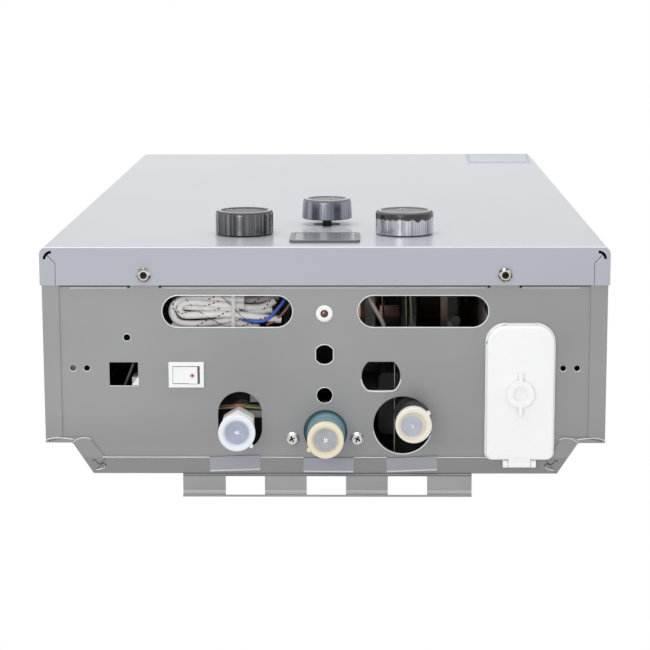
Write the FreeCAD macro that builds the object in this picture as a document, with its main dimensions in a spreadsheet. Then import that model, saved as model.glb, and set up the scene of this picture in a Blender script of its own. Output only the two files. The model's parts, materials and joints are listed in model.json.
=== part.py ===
"""Wall-hung tankless gas water heater, modelled upright as an assembly of separate pieces.

The front faces -Y, the wall is the plane Y = 0, +Z is up, and the origin is the middle of the
hanging holes of the upper wall bracket. Inside the functions a place is given by three numbers:
across (X), depth behind the front of the cover, and height above the lower end of the cover.
"""
import FreeCAD, Part
import math
import os
import re

import Sketcher
from FreeCAD import Rotation, Vector

TINY = 1e-4
CENTRE = 3
START = 1
END = 2
ROOT_POINT = -1

SIZES = {
    # Cover
    "cover_width": 350,
    "cover_length": 600,
    "cover_front": 157,
    "cover_lip": 24,
    "cover_sheet": 0.8,
    "cover_bend": 5,
    "seam_gap": 0.5,
    "seam_inset": 9.7,
    "seam_start": 9,
    "relief_across": 7.5,
    "relief_depth": 6.7,
    "relief_radius": 4.6,
    "relief_width": 1.2,
    "cover_screw_across": 110.8,
    "cover_screw_depth": 17.4,
    "screw_play": 0.3,
    # Casing
    "case_sheet": 0.8,
    "case_play": 0.2,
    "case_start": 8,
    "case_bend": 1.8,
    "wall_gap": 14,
    "ledge_depth": 123.3,
    "ledge_half": 156,
    "chamfer_half": 146,
    "side_strip": 10.5,
    "ledge_lip": 3.5,
    "chamfer_strip": 9,
    "back_band": 10,
    "mitre_gap": 0.6,
    "mitre_hole": 1.6,
    # Lower and upper panels
    "panel_sheet": 0.8,
    "panel_play": 0.3,
    "panel_front": 24.9,
    "panel_upstand": 12,
    "tab_half": 8.9,
    "tab_front": 9,
    "tab_notch": 1.6,
    "notch_depth": 2.6,
    # Cut-outs of the lower panel
    "slot_depth": 40.45,
    "slot_radius": 10.05,
    "slot_length": 80.8,
    "left_slot_across": -59.85,
    "right_slot_across": 60.8,
    "key_hole_depth": 67.5,
    "key_hole_radius": 6.15,
    "key_hole_half": 5.35,
    "round_hole_depth": 93.3,
    "round_hole_radius": 4.9,
    "flat_hole_across": 34.9,
    "flat_hole_depth": 81,
    "flat_hole_radius": 12,
    "flat_hole_half": 9,
    "rivet_hole_across": -122.1,
    "rivet_hole_depth": 56.8,
    "rivet_hole_radius": 2.05,
    "window_across": -124.5,
    "window_depth": 79.75,
    "window_width": 17.8,
    "window_height": 14.7,
    "pair_hole_depth": 76.1,
    "pair_hole_radius": 1.75,
    "pair_inner": 147.3,
    "pair_outer": 155.9,
    # Connections
    "thread_radius": 10.48,
    "thread_bore": 7.5,
    "thread_end": 22.4,
    "thread_chamfer": 1,
    "neck_radius": 9.2,
    "neck_end": 3,
    "gas_across": -53.2,
    "gas_depth": 111.3,
    "gas_hole_across": -52.65,
    "gas_hole_near": 104.65,
    "gas_hole_far": 114.35,
    "gas_hole_radius": 13.65,
    "hexagon_flats": 19,
    "hexagon_start": 6,
    "hot_across": 0.9,
    "hot_depth": 115.9,
    "hot_hole_across": 0.45,
    "hot_hole_depth": 116.2,
    "hot_hole_radius": 13.65,
    "hot_flange_height": 4,
    "hot_flange_sheet": 3,
    "hot_stub": 12,
    "flange_rim": 7,
    "end_wall": 3,
    "outlet_screw_across": 20.25,
    "outlet_screw_depth": 120.8,
    "seal_play": 0.25,
    "cold_across": 54.6,
    "cold_depth": 106.3,
    "cold_hole_across": 48.4,
    "cold_hole_depth": 112,
    "cold_hole_radius": 18.15,
    # Moulded caps
    "cap_play": 0.12,
    "cap_wall": 0.75,
    "cap_length": 18,
    "cap_dish_radius": 7.3,
    "cap_dish": 1.4,
    "cap_dish_slope": 0.7,
    "cap_end_wall": 1.2,
    "cap_tab": 2.6,
    "cap_tab_reach": 1.6,
    "cap_tab_thickness": 1,
    # Screws
    "screw_head_radius": 4.3,
    "screw_head": 2.6,
    "screw_crown_radius": 3,
    "screw_edge": 1,
    "screw_radius": 1.9,
    "screw_length": 9,
    "recess_arm": 2.3,
    "recess_width": 0.9,
    "recess_depth": 1.4,
    # Rocker switch
    "switch_across": -85.6,
    "switch_depth": 80.1,
    "switch_width": 21.9,
    "switch_height": 15.9,
    "switch_bezel": 2.2,
    "switch_body_width": 19,
    "switch_body_height": 12.8,
    "switch_body_depth": 12,
    "switch_play": 0.15,
    "switch_waist": 0.5,
    "rocker_width": 15.2,
    "rocker_height": 10.4,
    "rocker_gap": 0.45,
    "rocker_end_gap": 0.8,
    "rocker_rise": 0.7,
    "rocker_dip": 0.8,
    "rocker_well": 6.5,
    "rocker_pivot": 1,
    "rocker_pivot_depth": 2.5,
    "rocker_tilt": 7,
    "terminal_length": 7,
    "terminal_width": 4.6,
    "terminal_sheet": 0.8,
    "terminal_offset": 6,
    # Pilot lamp
    "lamp_depth": 41.7,
    "lamp_ring_radius": 5.15,
    "lamp_ring_rise": 1.4,
    "lamp_hole_radius": 4,
    "lamp_radius": 2.3,
    "lamp_seat_play": 0.1,
    "lamp_length": 9,
    "lamp_rise": 0.8,
    "lamp_round": 1.9,
    # Battery compartment
    "battery_across": 120.7,
    "battery_middle": 89.5,
    "battery_width": 43,
    "battery_height": 84,
    "battery_near_corner": 13,
    "battery_far_corner": 5.5,
    "battery_rim": 3.2,
    "battery_body_inset": 2.2,
    "battery_body_depth": 70,
    "battery_wall": 1.6,
    "partition_half": 3.6,
    "lid_inset": 1.1,
    "lid_sheet": 3.2,
    "lid_gap": 0.2,
    "lid_round": 1.6,
    "lid_hollow": 1.2,
    "lid_rim_width": 2.4,
    "latch_depth": 90.6,
    "latch_radius": 8.4,
    "latch_ring": 4.6,
    "latch_rise": 2.6,
    "latch_floor": 1,
    "latch_stem": 3,
    "latch_play": 0.3,
    "latch_rib_reach": 13.4,
    "latch_rib_width": 2.4,
    "latch_tongue_reach": 6,
    "latch_tongue_half": 1.8,
    "latch_tongue_sheet": 1.8,
    "latch_throat": 1.2,
    "latch_throat_half": 3.6,
    "latch_chamber": 2.6,
    "latch_chamber_half": 7,
    "hinge_depth": 135.8,
    "hinge_drop": 0.6,
    "hinge_half": 10.2,
    "hinge_ear": 3,
    "hinge_radius": 2.4,
    "hinge_pin_radius": 1,
    "hinge_side_play": 0.3,
    "hinge_pin_play": 0.1,
    "contact_rise": 3,
    "contact_radius": 5,
    # Knobs and spindles
    "knob_low_height": 60.5,
    "knob_left_across": -52,
    "knob_right_across": 50.3,
    "knob_high_height": 108.4,
    "knob_radius": 18.5,
    "knob_small_radius": 16.6,
    "knob_small_taper": 0.7,
    "knob_height": 14,
    "knob_small_height": 12.8,
    "knob_lift": 1,
    "knob_small_lift": 4.4,
    "knob_bevel": 1.5,
    "knob_rim": 1.6,
    "knob_dish": 0.5,
    "knob_wall": 2,
    "knob_boss": 6,
    "spindle_radius": 3,
    "spindle_play": 0.15,
    "spindle_tip_gap": 0.5,
    "spindle_flat": 1.5,
    "spindle_seat": 14,
    "spindle_hole": 6.5,
    "spindle_high_hole": 9.2,
    # Display
    "display_height": 36.5,
    "display_half": 22,
    "display_tall": 39,
    "display_corner": 4,
    "display_rise": 1.5,
    "display_frame": 1.6,
    "display_window_sheet": 1.1,
    "display_window_inset": 3,
    "display_play": 0.2,
    "display_depth": 14,
    "display_wall": 1.4,
    "board_sheet": 1.6,
    "board_depth": 8,
    "screen_width": 24,
    "screen_tall": 16,
    # Wall brackets
    "bracket_sheet": 1.2,
    "bracket_half": 90,
    "bracket_shift": 1.5,
    "bracket_seat": 26,
    "foot_reach": 10,
    "foot_window_left": -49.7,
    "foot_window_pitch": 50.6,
    "foot_window_half": 12.25,
    "foot_window_end": 1.6,
    "hang_height": 614,
    "hang_reach": 26,
    "hang_spacing": 150,
    "hang_hole_radius": 3.6,
    # Flue
    "flue_radius": 45,
    "flue_sheet": 0.8,
    "flue_rise": 34,
    "flue_flange": 8,
    "flue_depth": 79,
    "flue_play": 0.4,
    "hood_box_height": 62,
    "hood_top_rim": 1.2,
    "air_slot_length": 46,
    "air_slot_radius": 2.5,
    "air_slot_pitch": 18,
    "air_slot_count": 3,
    "air_slot_across": 84,
    "air_slot_depth": 50,
    # Combustion chamber, burner and exchanger
    "chamber_half": 110,
    "chamber_near": 30,
    "chamber_far": 114,
    "chamber_sheet": 0.8,
    "burner_base": 178,
    "burner_height": 66,
    "chamber_top": 400,
    "exchanger_height": 52,
    "bar_count": 7,
    "bar_pitch": 29,
    "bar_width": 14,
    "bar_neck": 3.5,
    "bar_inset": 6,
    "bar_lift": 8,
    "bar_height": 46,
    "bar_shoulder": 34,
    "fin_count": 8,
    "fin_sheet": 1.2,
    "fin_pitch": 27,
    "fin_inset": 4,
    "tube_radius": 8,
    "tube_pitch": 38,
    "header_reach": 17,
    "header_half": 12,
    "header_height": 25,
    "coil_radius": 6,
    "coil_turns": 1,
    "coil_pitch": 80,
    "coil_start": 262,
    "coil_gap": 2.4,
    "coil_bend": 12,
    "manifold_half": 104,
    "manifold_depth": 96,
    "manifold_side": 16,
    "manifold_height": 150,
    "injector_flats": 6,
    "injector_height": 7,
    "strap_half": 60,
    "strap_height": 14,
    "strap_sheet": 1.2,
    "lower_strap": 200,
    "upper_strap": 375,
    "electrode_pitch": 22,
    "electrode_radius": 3.2,
    "electrode_wire": 0.9,
    "electrode_across": -30,
    "electrode_length": 26,
    "electrode_height": 60,
    "sensor_radius": 7,
    "sensor_height": 5,
    "sensor_across": 60,
    # Gas and water valves
    "valve_base": 38,
    "valve_top": 84,
    "valve_half": 21,
    "valve_near": 20,
    "valve_boss_reach": 22,
    "valve_boss_radius": 9,
    "valve_corner": 5,
    "riser_radius": 8,
    "solenoid_radius": 14,
    "solenoid_length": 32,
    "diaphragm_radius": 27,
    "diaphragm_start": 12,
    "diaphragm_flange": 6,
    "diaphragm_hub": 16,
    "link_radius": 4,
    "link_depth": 95,
    "micro_width": 20,
    "micro_depth": 10,
    "micro_height": 15,
    "high_boss_depth": 66,
    "section_half": 16.8,
    # Pipes
    "pipe_radius": 7.5,
    "pipe_bend": 17,
    "pipe_side": 150,
    "pipe_level": 126,
    "cold_bend": 12,
    # Controller and wiring
    "control_width": 44,
    "control_near": 38,
    "control_depth": 52,
    "control_base": 72,
    "control_height": 92,
    "control_corner": 3,
    "bundle_left": -96,
    "bundle_right": -27,
    "bundle_half": 11,
    "bundle_height": 17,
    "bundle_corner": 7.7,
    "bundle_chamfer": 3,
    "bundle_lift": 1.6,
    "tie_across": -60,
    "tie_width": 3.6,
    "tie_sheet": 1.1,
    "tie_play": 0.2,
    "blue_wire_radius": 1.4,
    "brown_wire_radius": 0.95,
    "white_wire_radius": 1.5,
    "wire_bend": 5,
    "lead_pitch": 2.6,
    "lead_run": 9,
    "lead_slant": 6,
    "lead_loop": 16,
    "wire_out": 22,
    "wire_exit": 26,
    "wire_near_across": 28,
    "wire_near_depth": 35,
    "wire_far_across": 33,
    "wire_far_depth": 52,
    "wire_low": 8.5,
    "wire_rise_depth": 60,
    "wire_rise": 24,
    "wire_end_across": 8.4,
    "wire_end_run": 15,
    "connector_across": -113.5,
    "connector_depth": 88,
    "connector_half": 6,
    "connector_height": 14,
    "terminal_block_across": -42,
    "terminal_block_depth": 97,
    "terminal_block_half": 5,
    "terminal_block_tall": 3.6,
    "terminal_block_height": 22,
}

doc = FreeCAD.newDocument("water_heater")
dims = doc.addObject("Spreadsheet::Sheet", "Dims")
for row, (name, value) in enumerate(SIZES.items(), start=1):
    dims.set(f"A{row}", name)
    dims.set(f"B{row}", str(value))
    dims.setAlias(f"B{row}", name)
doc.recompute()

pieces = []
cuts = []

# Places that several pieces share, as formulas on the sheet's names
CASE_HALF = "(cover_width / 2 - cover_sheet - case_play)"
CASE_END = "(cover_sheet + case_play)"
PANEL_FACE = "(cover_sheet + case_play + case_sheet)"
PANEL_INSIDE = "(cover_sheet + case_play + case_sheet + panel_sheet)"
BACK = "(cover_front - wall_gap)"
BACK_INSIDE = "(cover_front - wall_gap - case_sheet)"
CHAMFER_RUN = "(ledge_half - chamfer_half)"
CHAMFER_DROP = f"({BACK} - ledge_depth)"
CHAMFER_SLOPE = f"sqrt({CHAMFER_RUN} * {CHAMFER_RUN} + {CHAMFER_DROP} * {CHAMFER_DROP})"
CHAMFER_MITRE = f"(({CHAMFER_SLOPE} - {CHAMFER_RUN}) / {CHAMFER_DROP})"
CHAMBER_MIDDLE = "((chamber_near + chamber_far) / 2)"

# Turns of a piece that is drawn about its own +Z
UPRIGHT = Rotation()
TO_FRONT = Rotation(Vector(1, 0, 0), 90)
DOWNWARD = Rotation(Vector(1, 0, 0), 180)


def formula(text):
    """Return the text with each size's name turned into the sheet's name for it."""
    return re.sub(r"\b([a-z]+(?:_[a-z0-9]+)+)\b", r"Dims.\1", text)


def number(text):
    """Return the present value of a formula, in millimetres or degrees."""
    return float(dims.evalExpression(formula(text)))


def place(thing, across="0", depth="0", height="0", turn=UPRIGHT):
    """Put a piece at its place in the heater and enter it in the list of pieces."""
    thing.Placement = FreeCAD.Placement(Vector(0, 0, 0), turn)
    thing.setExpression("Placement.Base.x", formula(across))
    thing.setExpression("Placement.Base.y", formula(f"{depth} - cover_front"))
    thing.setExpression("Placement.Base.z", formula(f"{height} - hang_height"))
    pieces.append(thing)
    return thing


def fix_point(sketch, curve, vertex, across=None, up=None):
    """Hold one vertex of a sketch at formulas for its two coordinates."""
    for kind, text in (("DistanceX", across), ("DistanceY", up)):
        if text is None:
            continue
        constraint = Sketcher.Constraint(kind, ROOT_POINT, START, curve, vertex, number(text))
        index = sketch.addConstraint(constraint)
        sketch.setExpression(f"Constraints[{index}]", formula(text))


def fix_radius(sketch, curve, radius):
    """Hold the radius of a circle or an arc at a formula."""
    index = sketch.addConstraint(Sketcher.Constraint("Radius", curve, number(radius)))
    sketch.setExpression(f"Constraints[{index}]", formula(radius))


def arc(x, y, radius, first, last):
    """Return an arc of a circle between two angles in degrees."""
    ring = Part.Circle(Vector(x, y, 0), Vector(0, 0, 1), radius)
    return Part.ArcOfCircle(ring, math.radians(first), math.radians(last))


def line(start, end):
    """Return a straight sketch line between two pairs of numbers."""
    return Part.LineSegment(Vector(*start, 0), Vector(*end, 0))


def chain(sketch, curves, kind):
    """Join curves end to start, and the last to the first, with one kind of constraint."""
    for position, curve in enumerate(curves):
        following = curves[(position + 1) % len(curves)]
        sketch.addConstraint(Sketcher.Constraint(kind, curve, END, following, START))


def polygon(points):
    """A closed outline of straight lines through pairs of formulas."""
    def draw(sketch):
        corners = [(number(x), number(y)) for x, y in points]
        edges = []
        for position, corner in enumerate(corners):
            following = corners[(position + 1) % len(corners)]
            edges.append(sketch.addGeometry(line(corner, following), False))
        chain(sketch, edges, "Coincident")
        for edge, (x, y) in zip(edges, points):
            fix_point(sketch, edge, START, x, y)
    return draw


def rectangle(x, y, width, height):
    """A rectangle about its middle."""
    left = f"{x} - ({width}) / 2"
    right = f"{x} + ({width}) / 2"
    low = f"{y} - ({height}) / 2"
    high = f"{y} + ({height}) / 2"
    return polygon([(left, low), (right, low), (right, high), (left, high)])


def hexagon(x, y, flats):
    """A regular hexagon with a corner towards the front."""
    half = f"{flats} / 2"
    side = f"{flats} / sqrt(12)"
    corner = f"{flats} / sqrt(3)"
    return polygon([(x, f"{y} + {corner}"), (f"{x} - {half}", f"{y} + {side}"),
                    (f"{x} - {half}", f"{y} - {side}"), (x, f"{y} - {corner}"),
                    (f"{x} + {half}", f"{y} - {side}"), (f"{x} + {half}", f"{y} + {side}")])


def circle(x, y, radius):
    """A circle about its centre."""
    def draw(sketch):
        ring = Part.Circle(Vector(number(x), number(y), 0), Vector(0, 0, 1), number(radius))
        curve = sketch.addGeometry(ring, False)
        fix_point(sketch, curve, CENTRE, x, y)
        fix_radius(sketch, curve, radius)
    return draw


def obround(x_start, y_start, x_end, y_end, radius):
    """Two half circles about their centres, joined by straight sides."""
    def draw(sketch):
        first = Vector(number(x_start), number(y_start), 0)
        last = Vector(number(x_end), number(y_end), 0)
        size = number(radius)
        run = last - first
        angle = math.degrees(math.atan2(run.y, run.x))
        side = Vector(-run.y, run.x, 0)
        side.multiply(size / run.Length)
        opening = sketch.addGeometry(arc(first.x, first.y, size, angle + 90, angle + 270), False)
        lower = sketch.addGeometry(Part.LineSegment(first - side, last - side), False)
        closing = sketch.addGeometry(arc(last.x, last.y, size, angle - 90, angle + 90), False)
        upper = sketch.addGeometry(Part.LineSegment(last + side, first + side), False)
        chain(sketch, [opening, lower, closing, upper], "Tangent")
        fix_point(sketch, opening, CENTRE, x_start, y_start)
        fix_point(sketch, closing, CENTRE, x_end, y_end)
        fix_radius(sketch, opening, radius)
        sketch.addConstraint(Sketcher.Constraint("Equal", opening, closing))
    return draw


def rounded(x, y, width, height, low_radius, high_radius=None):
    """A rectangle about its middle, with one radius at its low and one at its high corners."""
    left = f"{x} - ({width}) / 2"
    right = f"{x} + ({width}) / 2"
    low = f"{y} - ({height}) / 2"
    high = f"{y} + ({height}) / 2"
    top_radius = high_radius or low_radius

    def draw(sketch):
        x0, x1, y0, y1 = number(left), number(right), number(low), number(high)
        small = number(low_radius)
        large = number(top_radius)
        curves = [
            line((x0 + small, y0), (x1 - small, y0)),
            arc(x1 - small, y0 + small, small, -90, 0),
            line((x1, y0 + small), (x1, y1 - large)),
            arc(x1 - large, y1 - large, large, 0, 90),
            line((x1 - large, y1), (x0 + large, y1)),
            arc(x0 + large, y1 - large, large, 90, 180),
            line((x0, y1 - large), (x0, y0 + small)),
            arc(x0 + small, y0 + small, small, 180, 270),
        ]
        edges = [sketch.addGeometry(curve, False) for curve in curves]
        chain(sketch, edges, "Tangent")
        sketch.addConstraint(Sketcher.Constraint("Horizontal", edges[0]))
        sketch.addConstraint(Sketcher.Constraint("Vertical", edges[2]))
        sketch.addConstraint(Sketcher.Constraint("Horizontal", edges[4]))
        sketch.addConstraint(Sketcher.Constraint("Vertical", edges[6]))
        fix_point(sketch, edges[0], START, up=low)
        fix_point(sketch, edges[2], START, across=right)
        fix_point(sketch, edges[4], START, up=high)
        fix_point(sketch, edges[6], START, across=left)
        fix_radius(sketch, edges[7], low_radius)
        fix_radius(sketch, edges[5], top_radius)
        sketch.addConstraint(Sketcher.Constraint("Equal", edges[7], edges[1]))
        sketch.addConstraint(Sketcher.Constraint("Equal", edges[5], edges[3]))
    return draw


def flatted(x, y, radius, half, upright_flats):
    """A circle cut by two flats at the same distance from its centre."""
    def draw(sketch):
        cx, cy, size, reach = number(x), number(y), number(radius), number(half)
        corner = math.degrees(math.acos(reach / size))
        turn = 0 if upright_flats else 90
        first = arc(cx, cy, size, turn + corner, turn + 180 - corner)
        second = arc(cx, cy, size, turn + 180 + corner, turn + 360 - corner)
        near = Part.LineSegment(first.EndPoint, second.StartPoint)
        far = Part.LineSegment(second.EndPoint, first.StartPoint)
        edges = [sketch.addGeometry(curve, False) for curve in (first, near, second, far)]
        chain(sketch, edges, "Coincident")
        fix_point(sketch, edges[0], CENTRE, x, y)
        sketch.addConstraint(Sketcher.Constraint("Coincident", edges[0], CENTRE, edges[2], CENTRE))
        fix_radius(sketch, edges[0], radius)
        sketch.addConstraint(Sketcher.Constraint("Equal", edges[0], edges[2]))
        for edge, sign in ((edges[1], "-"), (edges[3], "+")):
            if upright_flats:
                sketch.addConstraint(Sketcher.Constraint("Vertical", edge))
                fix_point(sketch, edge, START, across=f"{x} {sign} {half}")
            else:
                sketch.addConstraint(Sketcher.Constraint("Horizontal", edge))
                fix_point(sketch, edge, START, up=f"{y} {sign} {half}")
    return draw


def quarter_ring(x, y, radius, width, to_left):
    """A curved slot, a quarter of a ring towards the front and one side."""
    def draw(sketch):
        cx, cy = number(x), number(y)
        inner = number(f"{radius} - {width} / 2")
        outer = number(f"{radius} + {width} / 2")
        first, last = (180, 270) if to_left else (270, 360)
        wide = arc(cx, cy, outer, first, last)
        tight = arc(cx, cy, inner, first, last)
        head = Part.LineSegment(wide.EndPoint, tight.EndPoint)
        tail = Part.LineSegment(tight.StartPoint, wide.StartPoint)
        edges = [sketch.addGeometry(curve, False) for curve in (wide, head, tight, tail)]
        joins = [(0, END, 1, START), (1, END, 2, END), (2, START, 3, START), (3, END, 0, START)]
        for one, one_end, other, other_end in joins:
            sketch.addConstraint(
                Sketcher.Constraint("Coincident", edges[one], one_end, edges[other], other_end))
        fix_point(sketch, edges[0], CENTRE, x, y)
        sketch.addConstraint(Sketcher.Constraint("Coincident", edges[0], CENTRE, edges[2], CENTRE))
        fix_radius(sketch, edges[0], f"{radius} + {width} / 2")
        fix_radius(sketch, edges[2], f"{radius} - {width} / 2")
        level, plumb = (edges[3], edges[1]) if to_left else (edges[1], edges[3])
        sketch.addConstraint(Sketcher.Constraint("Horizontal", level))
        fix_point(sketch, level, START, up=y)
        sketch.addConstraint(Sketcher.Constraint("Vertical", plumb))
        fix_point(sketch, plumb, START, across=x)
    return draw


class Solid:
    """A sub-part made as a PartDesign body from sketches and features."""

    def __init__(self, label):
        self.body = doc.addObject("PartDesign::Body", label)
        self.body.Label = label

    def origin(self, role):
        """Return the body's own origin plane or axis of that role."""
        return next(part for part in self.body.Origin.OriginFeatures if part.Role == role)

    def sketch(self, plane, offset, outlines):
        """Draw outlines on an origin plane moved along its normal."""
        drawing = self.body.newObject("Sketcher::SketchObject", "sketch")
        drawing.AttachmentSupport = [(self.origin(plane), "")]
        drawing.MapMode = "FlatFace"
        drawing.setExpression("AttachmentOffset.Base.z", formula(offset))
        for draw in outlines:
            draw(drawing)
        return drawing

    def pad(self, plane, start, length, *outlines):
        """Add the outlines, extruded along the plane's normal from a start."""
        feature = self.body.newObject("PartDesign::Pad", "pad")
        feature.Profile = self.sketch(plane, start, outlines)
        feature.setExpression("Length", formula(length))
        return feature

    def pocket(self, plane, start, length, *outlines):
        """Cut the outlines, extruded along the plane's normal from a start."""
        before = self.body.Tip
        feature = self.body.newObject("PartDesign::Pocket", "pocket")
        feature.Profile = self.sketch(plane, start, outlines)
        feature.setExpression("Length", formula(length))
        feature.Reversed = True
        cuts.append((before, feature))
        return feature

    def revolve(self, points):
        """Turn a polygon of radius and height about the body's Z axis."""
        feature = self.body.newObject("PartDesign::Revolution", "revolution")
        drawing = self.sketch("XZ_Plane", "0", [polygon(points)])
        feature.Profile = drawing
        feature.ReferenceAxis = (drawing, ["V_Axis"])
        feature.Angle = 360
        return feature

    def row(self, feature, role, length, count):
        """Repeat a feature in a straight row along an origin axis."""
        pattern = self.body.newObject("PartDesign::LinearPattern", "row")
        pattern.Originals = [feature]
        pattern.Direction = (self.origin(role), [""])
        pattern.setExpression("Length", formula(length))
        pattern.setExpression("Occurrences", formula(count))
        self.body.Tip = pattern
        return pattern

    def dress(self, kind, size, test):
        """Fillet or chamfer the edges of the last feature that pass a test."""
        doc.recompute()
        base = self.body.Tip
        names = [f"Edge{place}" for place, edge in enumerate(base.Shape.Edges, 1) if test(edge)]
        feature = self.body.newObject(f"PartDesign::{kind}", kind.lower())
        feature.Base = (base, names)
        feature.setExpression("Radius" if kind == "Fillet" else "Size", formula(size))
        return feature

    def subtract(self, other):
        """Cut another body, drawn in the same frame, out of this one."""
        feature = self.body.newObject("PartDesign::Boolean", "cut")
        feature.setObjects([other.body])
        feature.Type = "Cut"
        return feature

    def shell(self, thickness, test):
        """Hollow the last feature inwards, open at the faces that pass a test."""
        doc.recompute()
        base = self.body.Tip
        names = [f"Face{place}" for place, face in enumerate(base.Shape.Faces, 1) if test(face)]
        feature = self.body.newObject("PartDesign::Thickness", "shell")
        feature.Base = (base, names)
        feature.setExpression("Value", formula(thickness))
        feature.Mode = 0
        feature.Join = 0
        feature.Reversed = True
        return feature

    def at(self, across="0", depth="0", height="0", turn=UPRIGHT):
        """Put the finished body at its place in the heater."""
        return place(self.body, across, depth, height, turn)


def ends_at(edge, axis, level):
    """Tell whether both ends of an edge lie on a level of one axis."""
    values = [getattr(vertex.Point, axis) for vertex in edge.Vertexes]
    return all(abs(value - level) < TINY for value in values)


def runs_along(edge, axis):
    """Tell whether an edge is straight and parallel to an axis."""
    if edge.Curve.TypeId != "Part::GeomLine":
        return False
    return abs(abs(getattr(edge.Curve.Direction, axis)) - 1) < TINY


def group(label, master, places):
    """Make one piece of several copies of a body, at turns and formulas for their places."""
    doc.recompute()
    copies = []
    for turn, across, depth, height in places:
        at = Vector(number(across), number(f"{depth} - cover_front"), number(f"{height} - hang_height"))
        copy = master.body.Shape.copy()
        copy.Placement = FreeCAD.Placement(at, turn)
        copies.append(copy)
    feature = doc.addObject("Part::Feature", label)
    feature.Label = label
    feature.Shape = Part.makeCompound(copies)
    pieces.append(feature)
    return feature


def tube(label, route, radius, bend):
    """Make a round bar along straight runs that tangent arcs of one radius join."""
    points = [Vector(*(number(value) for value in point)) for point in route]
    size = number(bend)
    thick = number(radius)
    runs = []
    begin = points[0]
    for before, corner, after in zip(points, points[1:], points[2:]):
        into = (corner - before).normalize()
        out = (after - corner).normalize()
        turn = into.getAngle(out)
        start = corner - into * (size * math.tan(turn / 2))
        axis = into.cross(out).normalize()
        pivot = start + axis.cross(into) * size
        runs.append(Part.makeCylinder(thick, start.distanceToPoint(begin), begin, into))
        ring = Part.Face(Part.Wire([Part.Circle(start, into, thick).toShape()]))
        runs.append(ring.revolve(pivot, axis, math.degrees(turn)))
        begin = corner + out * (size * math.tan(turn / 2))
    last = points[-1] - begin
    runs.append(Part.makeCylinder(thick, last.Length, begin, last))
    feature = doc.addObject("Part::Feature", label)
    feature.Label = label
    feature.Shape = runs[0].fuse(runs[1:]).Solids[0]
    return place(feature)


def case_outline(inset, front):
    """Return the casing's section, moved inwards by an inset, from a front depth to the back."""
    half = f"({CASE_HALF} - {inset})"
    shift = f"{inset} * {CHAMFER_MITRE}"
    right = [
        (half, front),
        (half, f"ledge_depth - {inset}"),
        (f"ledge_half - {shift}", f"ledge_depth - {inset}"),
        (f"chamfer_half - {shift}", f"{BACK} - {inset}"),
    ]
    left = [(f"-({across})", depth) for across, depth in reversed(right)]
    return right + left


def end_flange():
    """Return the outline of the casing's folded-in flange at either end."""
    outside = case_outline("0", "case_start")
    inside = [
        (f"{CASE_HALF} - side_strip", "case_start"),
        (f"{CASE_HALF} - side_strip", "ledge_depth - ledge_lip"),
        ("ledge_half - chamfer_strip", "ledge_depth - ledge_lip"),
        ("chamfer_half - chamfer_strip", f"{BACK} - back_band"),
    ]
    inside += [(f"-({across})", depth) for across, depth in reversed(inside)]
    return outside + list(reversed(inside))


def mitre_slit(side):
    """Return the thin slits at the two mitred corners of an end flange, on one side."""
    slits = []
    corners = [
        (f"({CASE_HALF} - side_strip)", "(ledge_depth - ledge_lip)",
         f"({CASE_HALF} - 2 * case_sheet)", "(ledge_depth - case_sheet)"),
        ("(chamfer_half - chamfer_strip)", f"({BACK} - back_band)",
         "(chamfer_half - 2 * case_sheet)", f"({BACK} - 2 * case_sheet)"),
    ]
    for across, depth, far_across, far_depth in corners:
        slits.append(polygon([
            (f"{side} * ({across} - mitre_gap)", f"{depth} + mitre_gap"),
            (f"{side} * ({across} - mitre_gap)", f"{depth} - mitre_gap"),
            (f"{side} * {across}", f"{depth} - mitre_gap"),
            (f"{side} * {far_across}", f"{far_depth} - mitre_gap"),
            (f"{side} * ({far_across} - mitre_gap)", far_depth),
        ]))
    return slits


def make_casing():
    """Sheet trough: side walls, ledges, chamfers and flat back, with a flange at each end."""
    casing = Solid("rear_casing")
    height = f"(cover_length - 2 * {CASE_END})"
    casing.pad("XY_Plane", CASE_END, height, polygon(case_outline("0", "case_start")))
    casing.dress("Fillet", "case_bend", lambda edge: runs_along(edge, "z")
                 and edge.Vertexes[0].Point.y > number("case_start") + TINY)
    ends = (number(CASE_END), number(f"cover_length - {CASE_END}"))
    casing.shell("case_sheet", lambda face: abs(face.CenterOfMass.y - number("case_start")) < TINY
                 or any(abs(face.CenterOfMass.z - end) < TINY for end in ends))
    casing.pad("XY_Plane", CASE_END, "case_sheet", polygon(end_flange()))
    casing.pad("XY_Plane", f"cover_length - {PANEL_FACE}", "case_sheet", polygon(end_flange()))
    casing.dress("Fillet", "case_bend / 3", lambda edge: ends_at(edge, "z", number(CASE_END))
                 and ends_at(edge, "y", number(BACK)))
    casing.pocket("XY_Plane", "0", PANEL_FACE, *mitre_slit("1"), *mitre_slit("-1"))
    casing.pocket("XY_Plane", "0", PANEL_FACE, rounded(
        "battery_across", "battery_middle", "battery_width + 2 * panel_play",
        "battery_height + 2 * panel_play", "battery_near_corner", "battery_far_corner"))
    casing.at()


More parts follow.
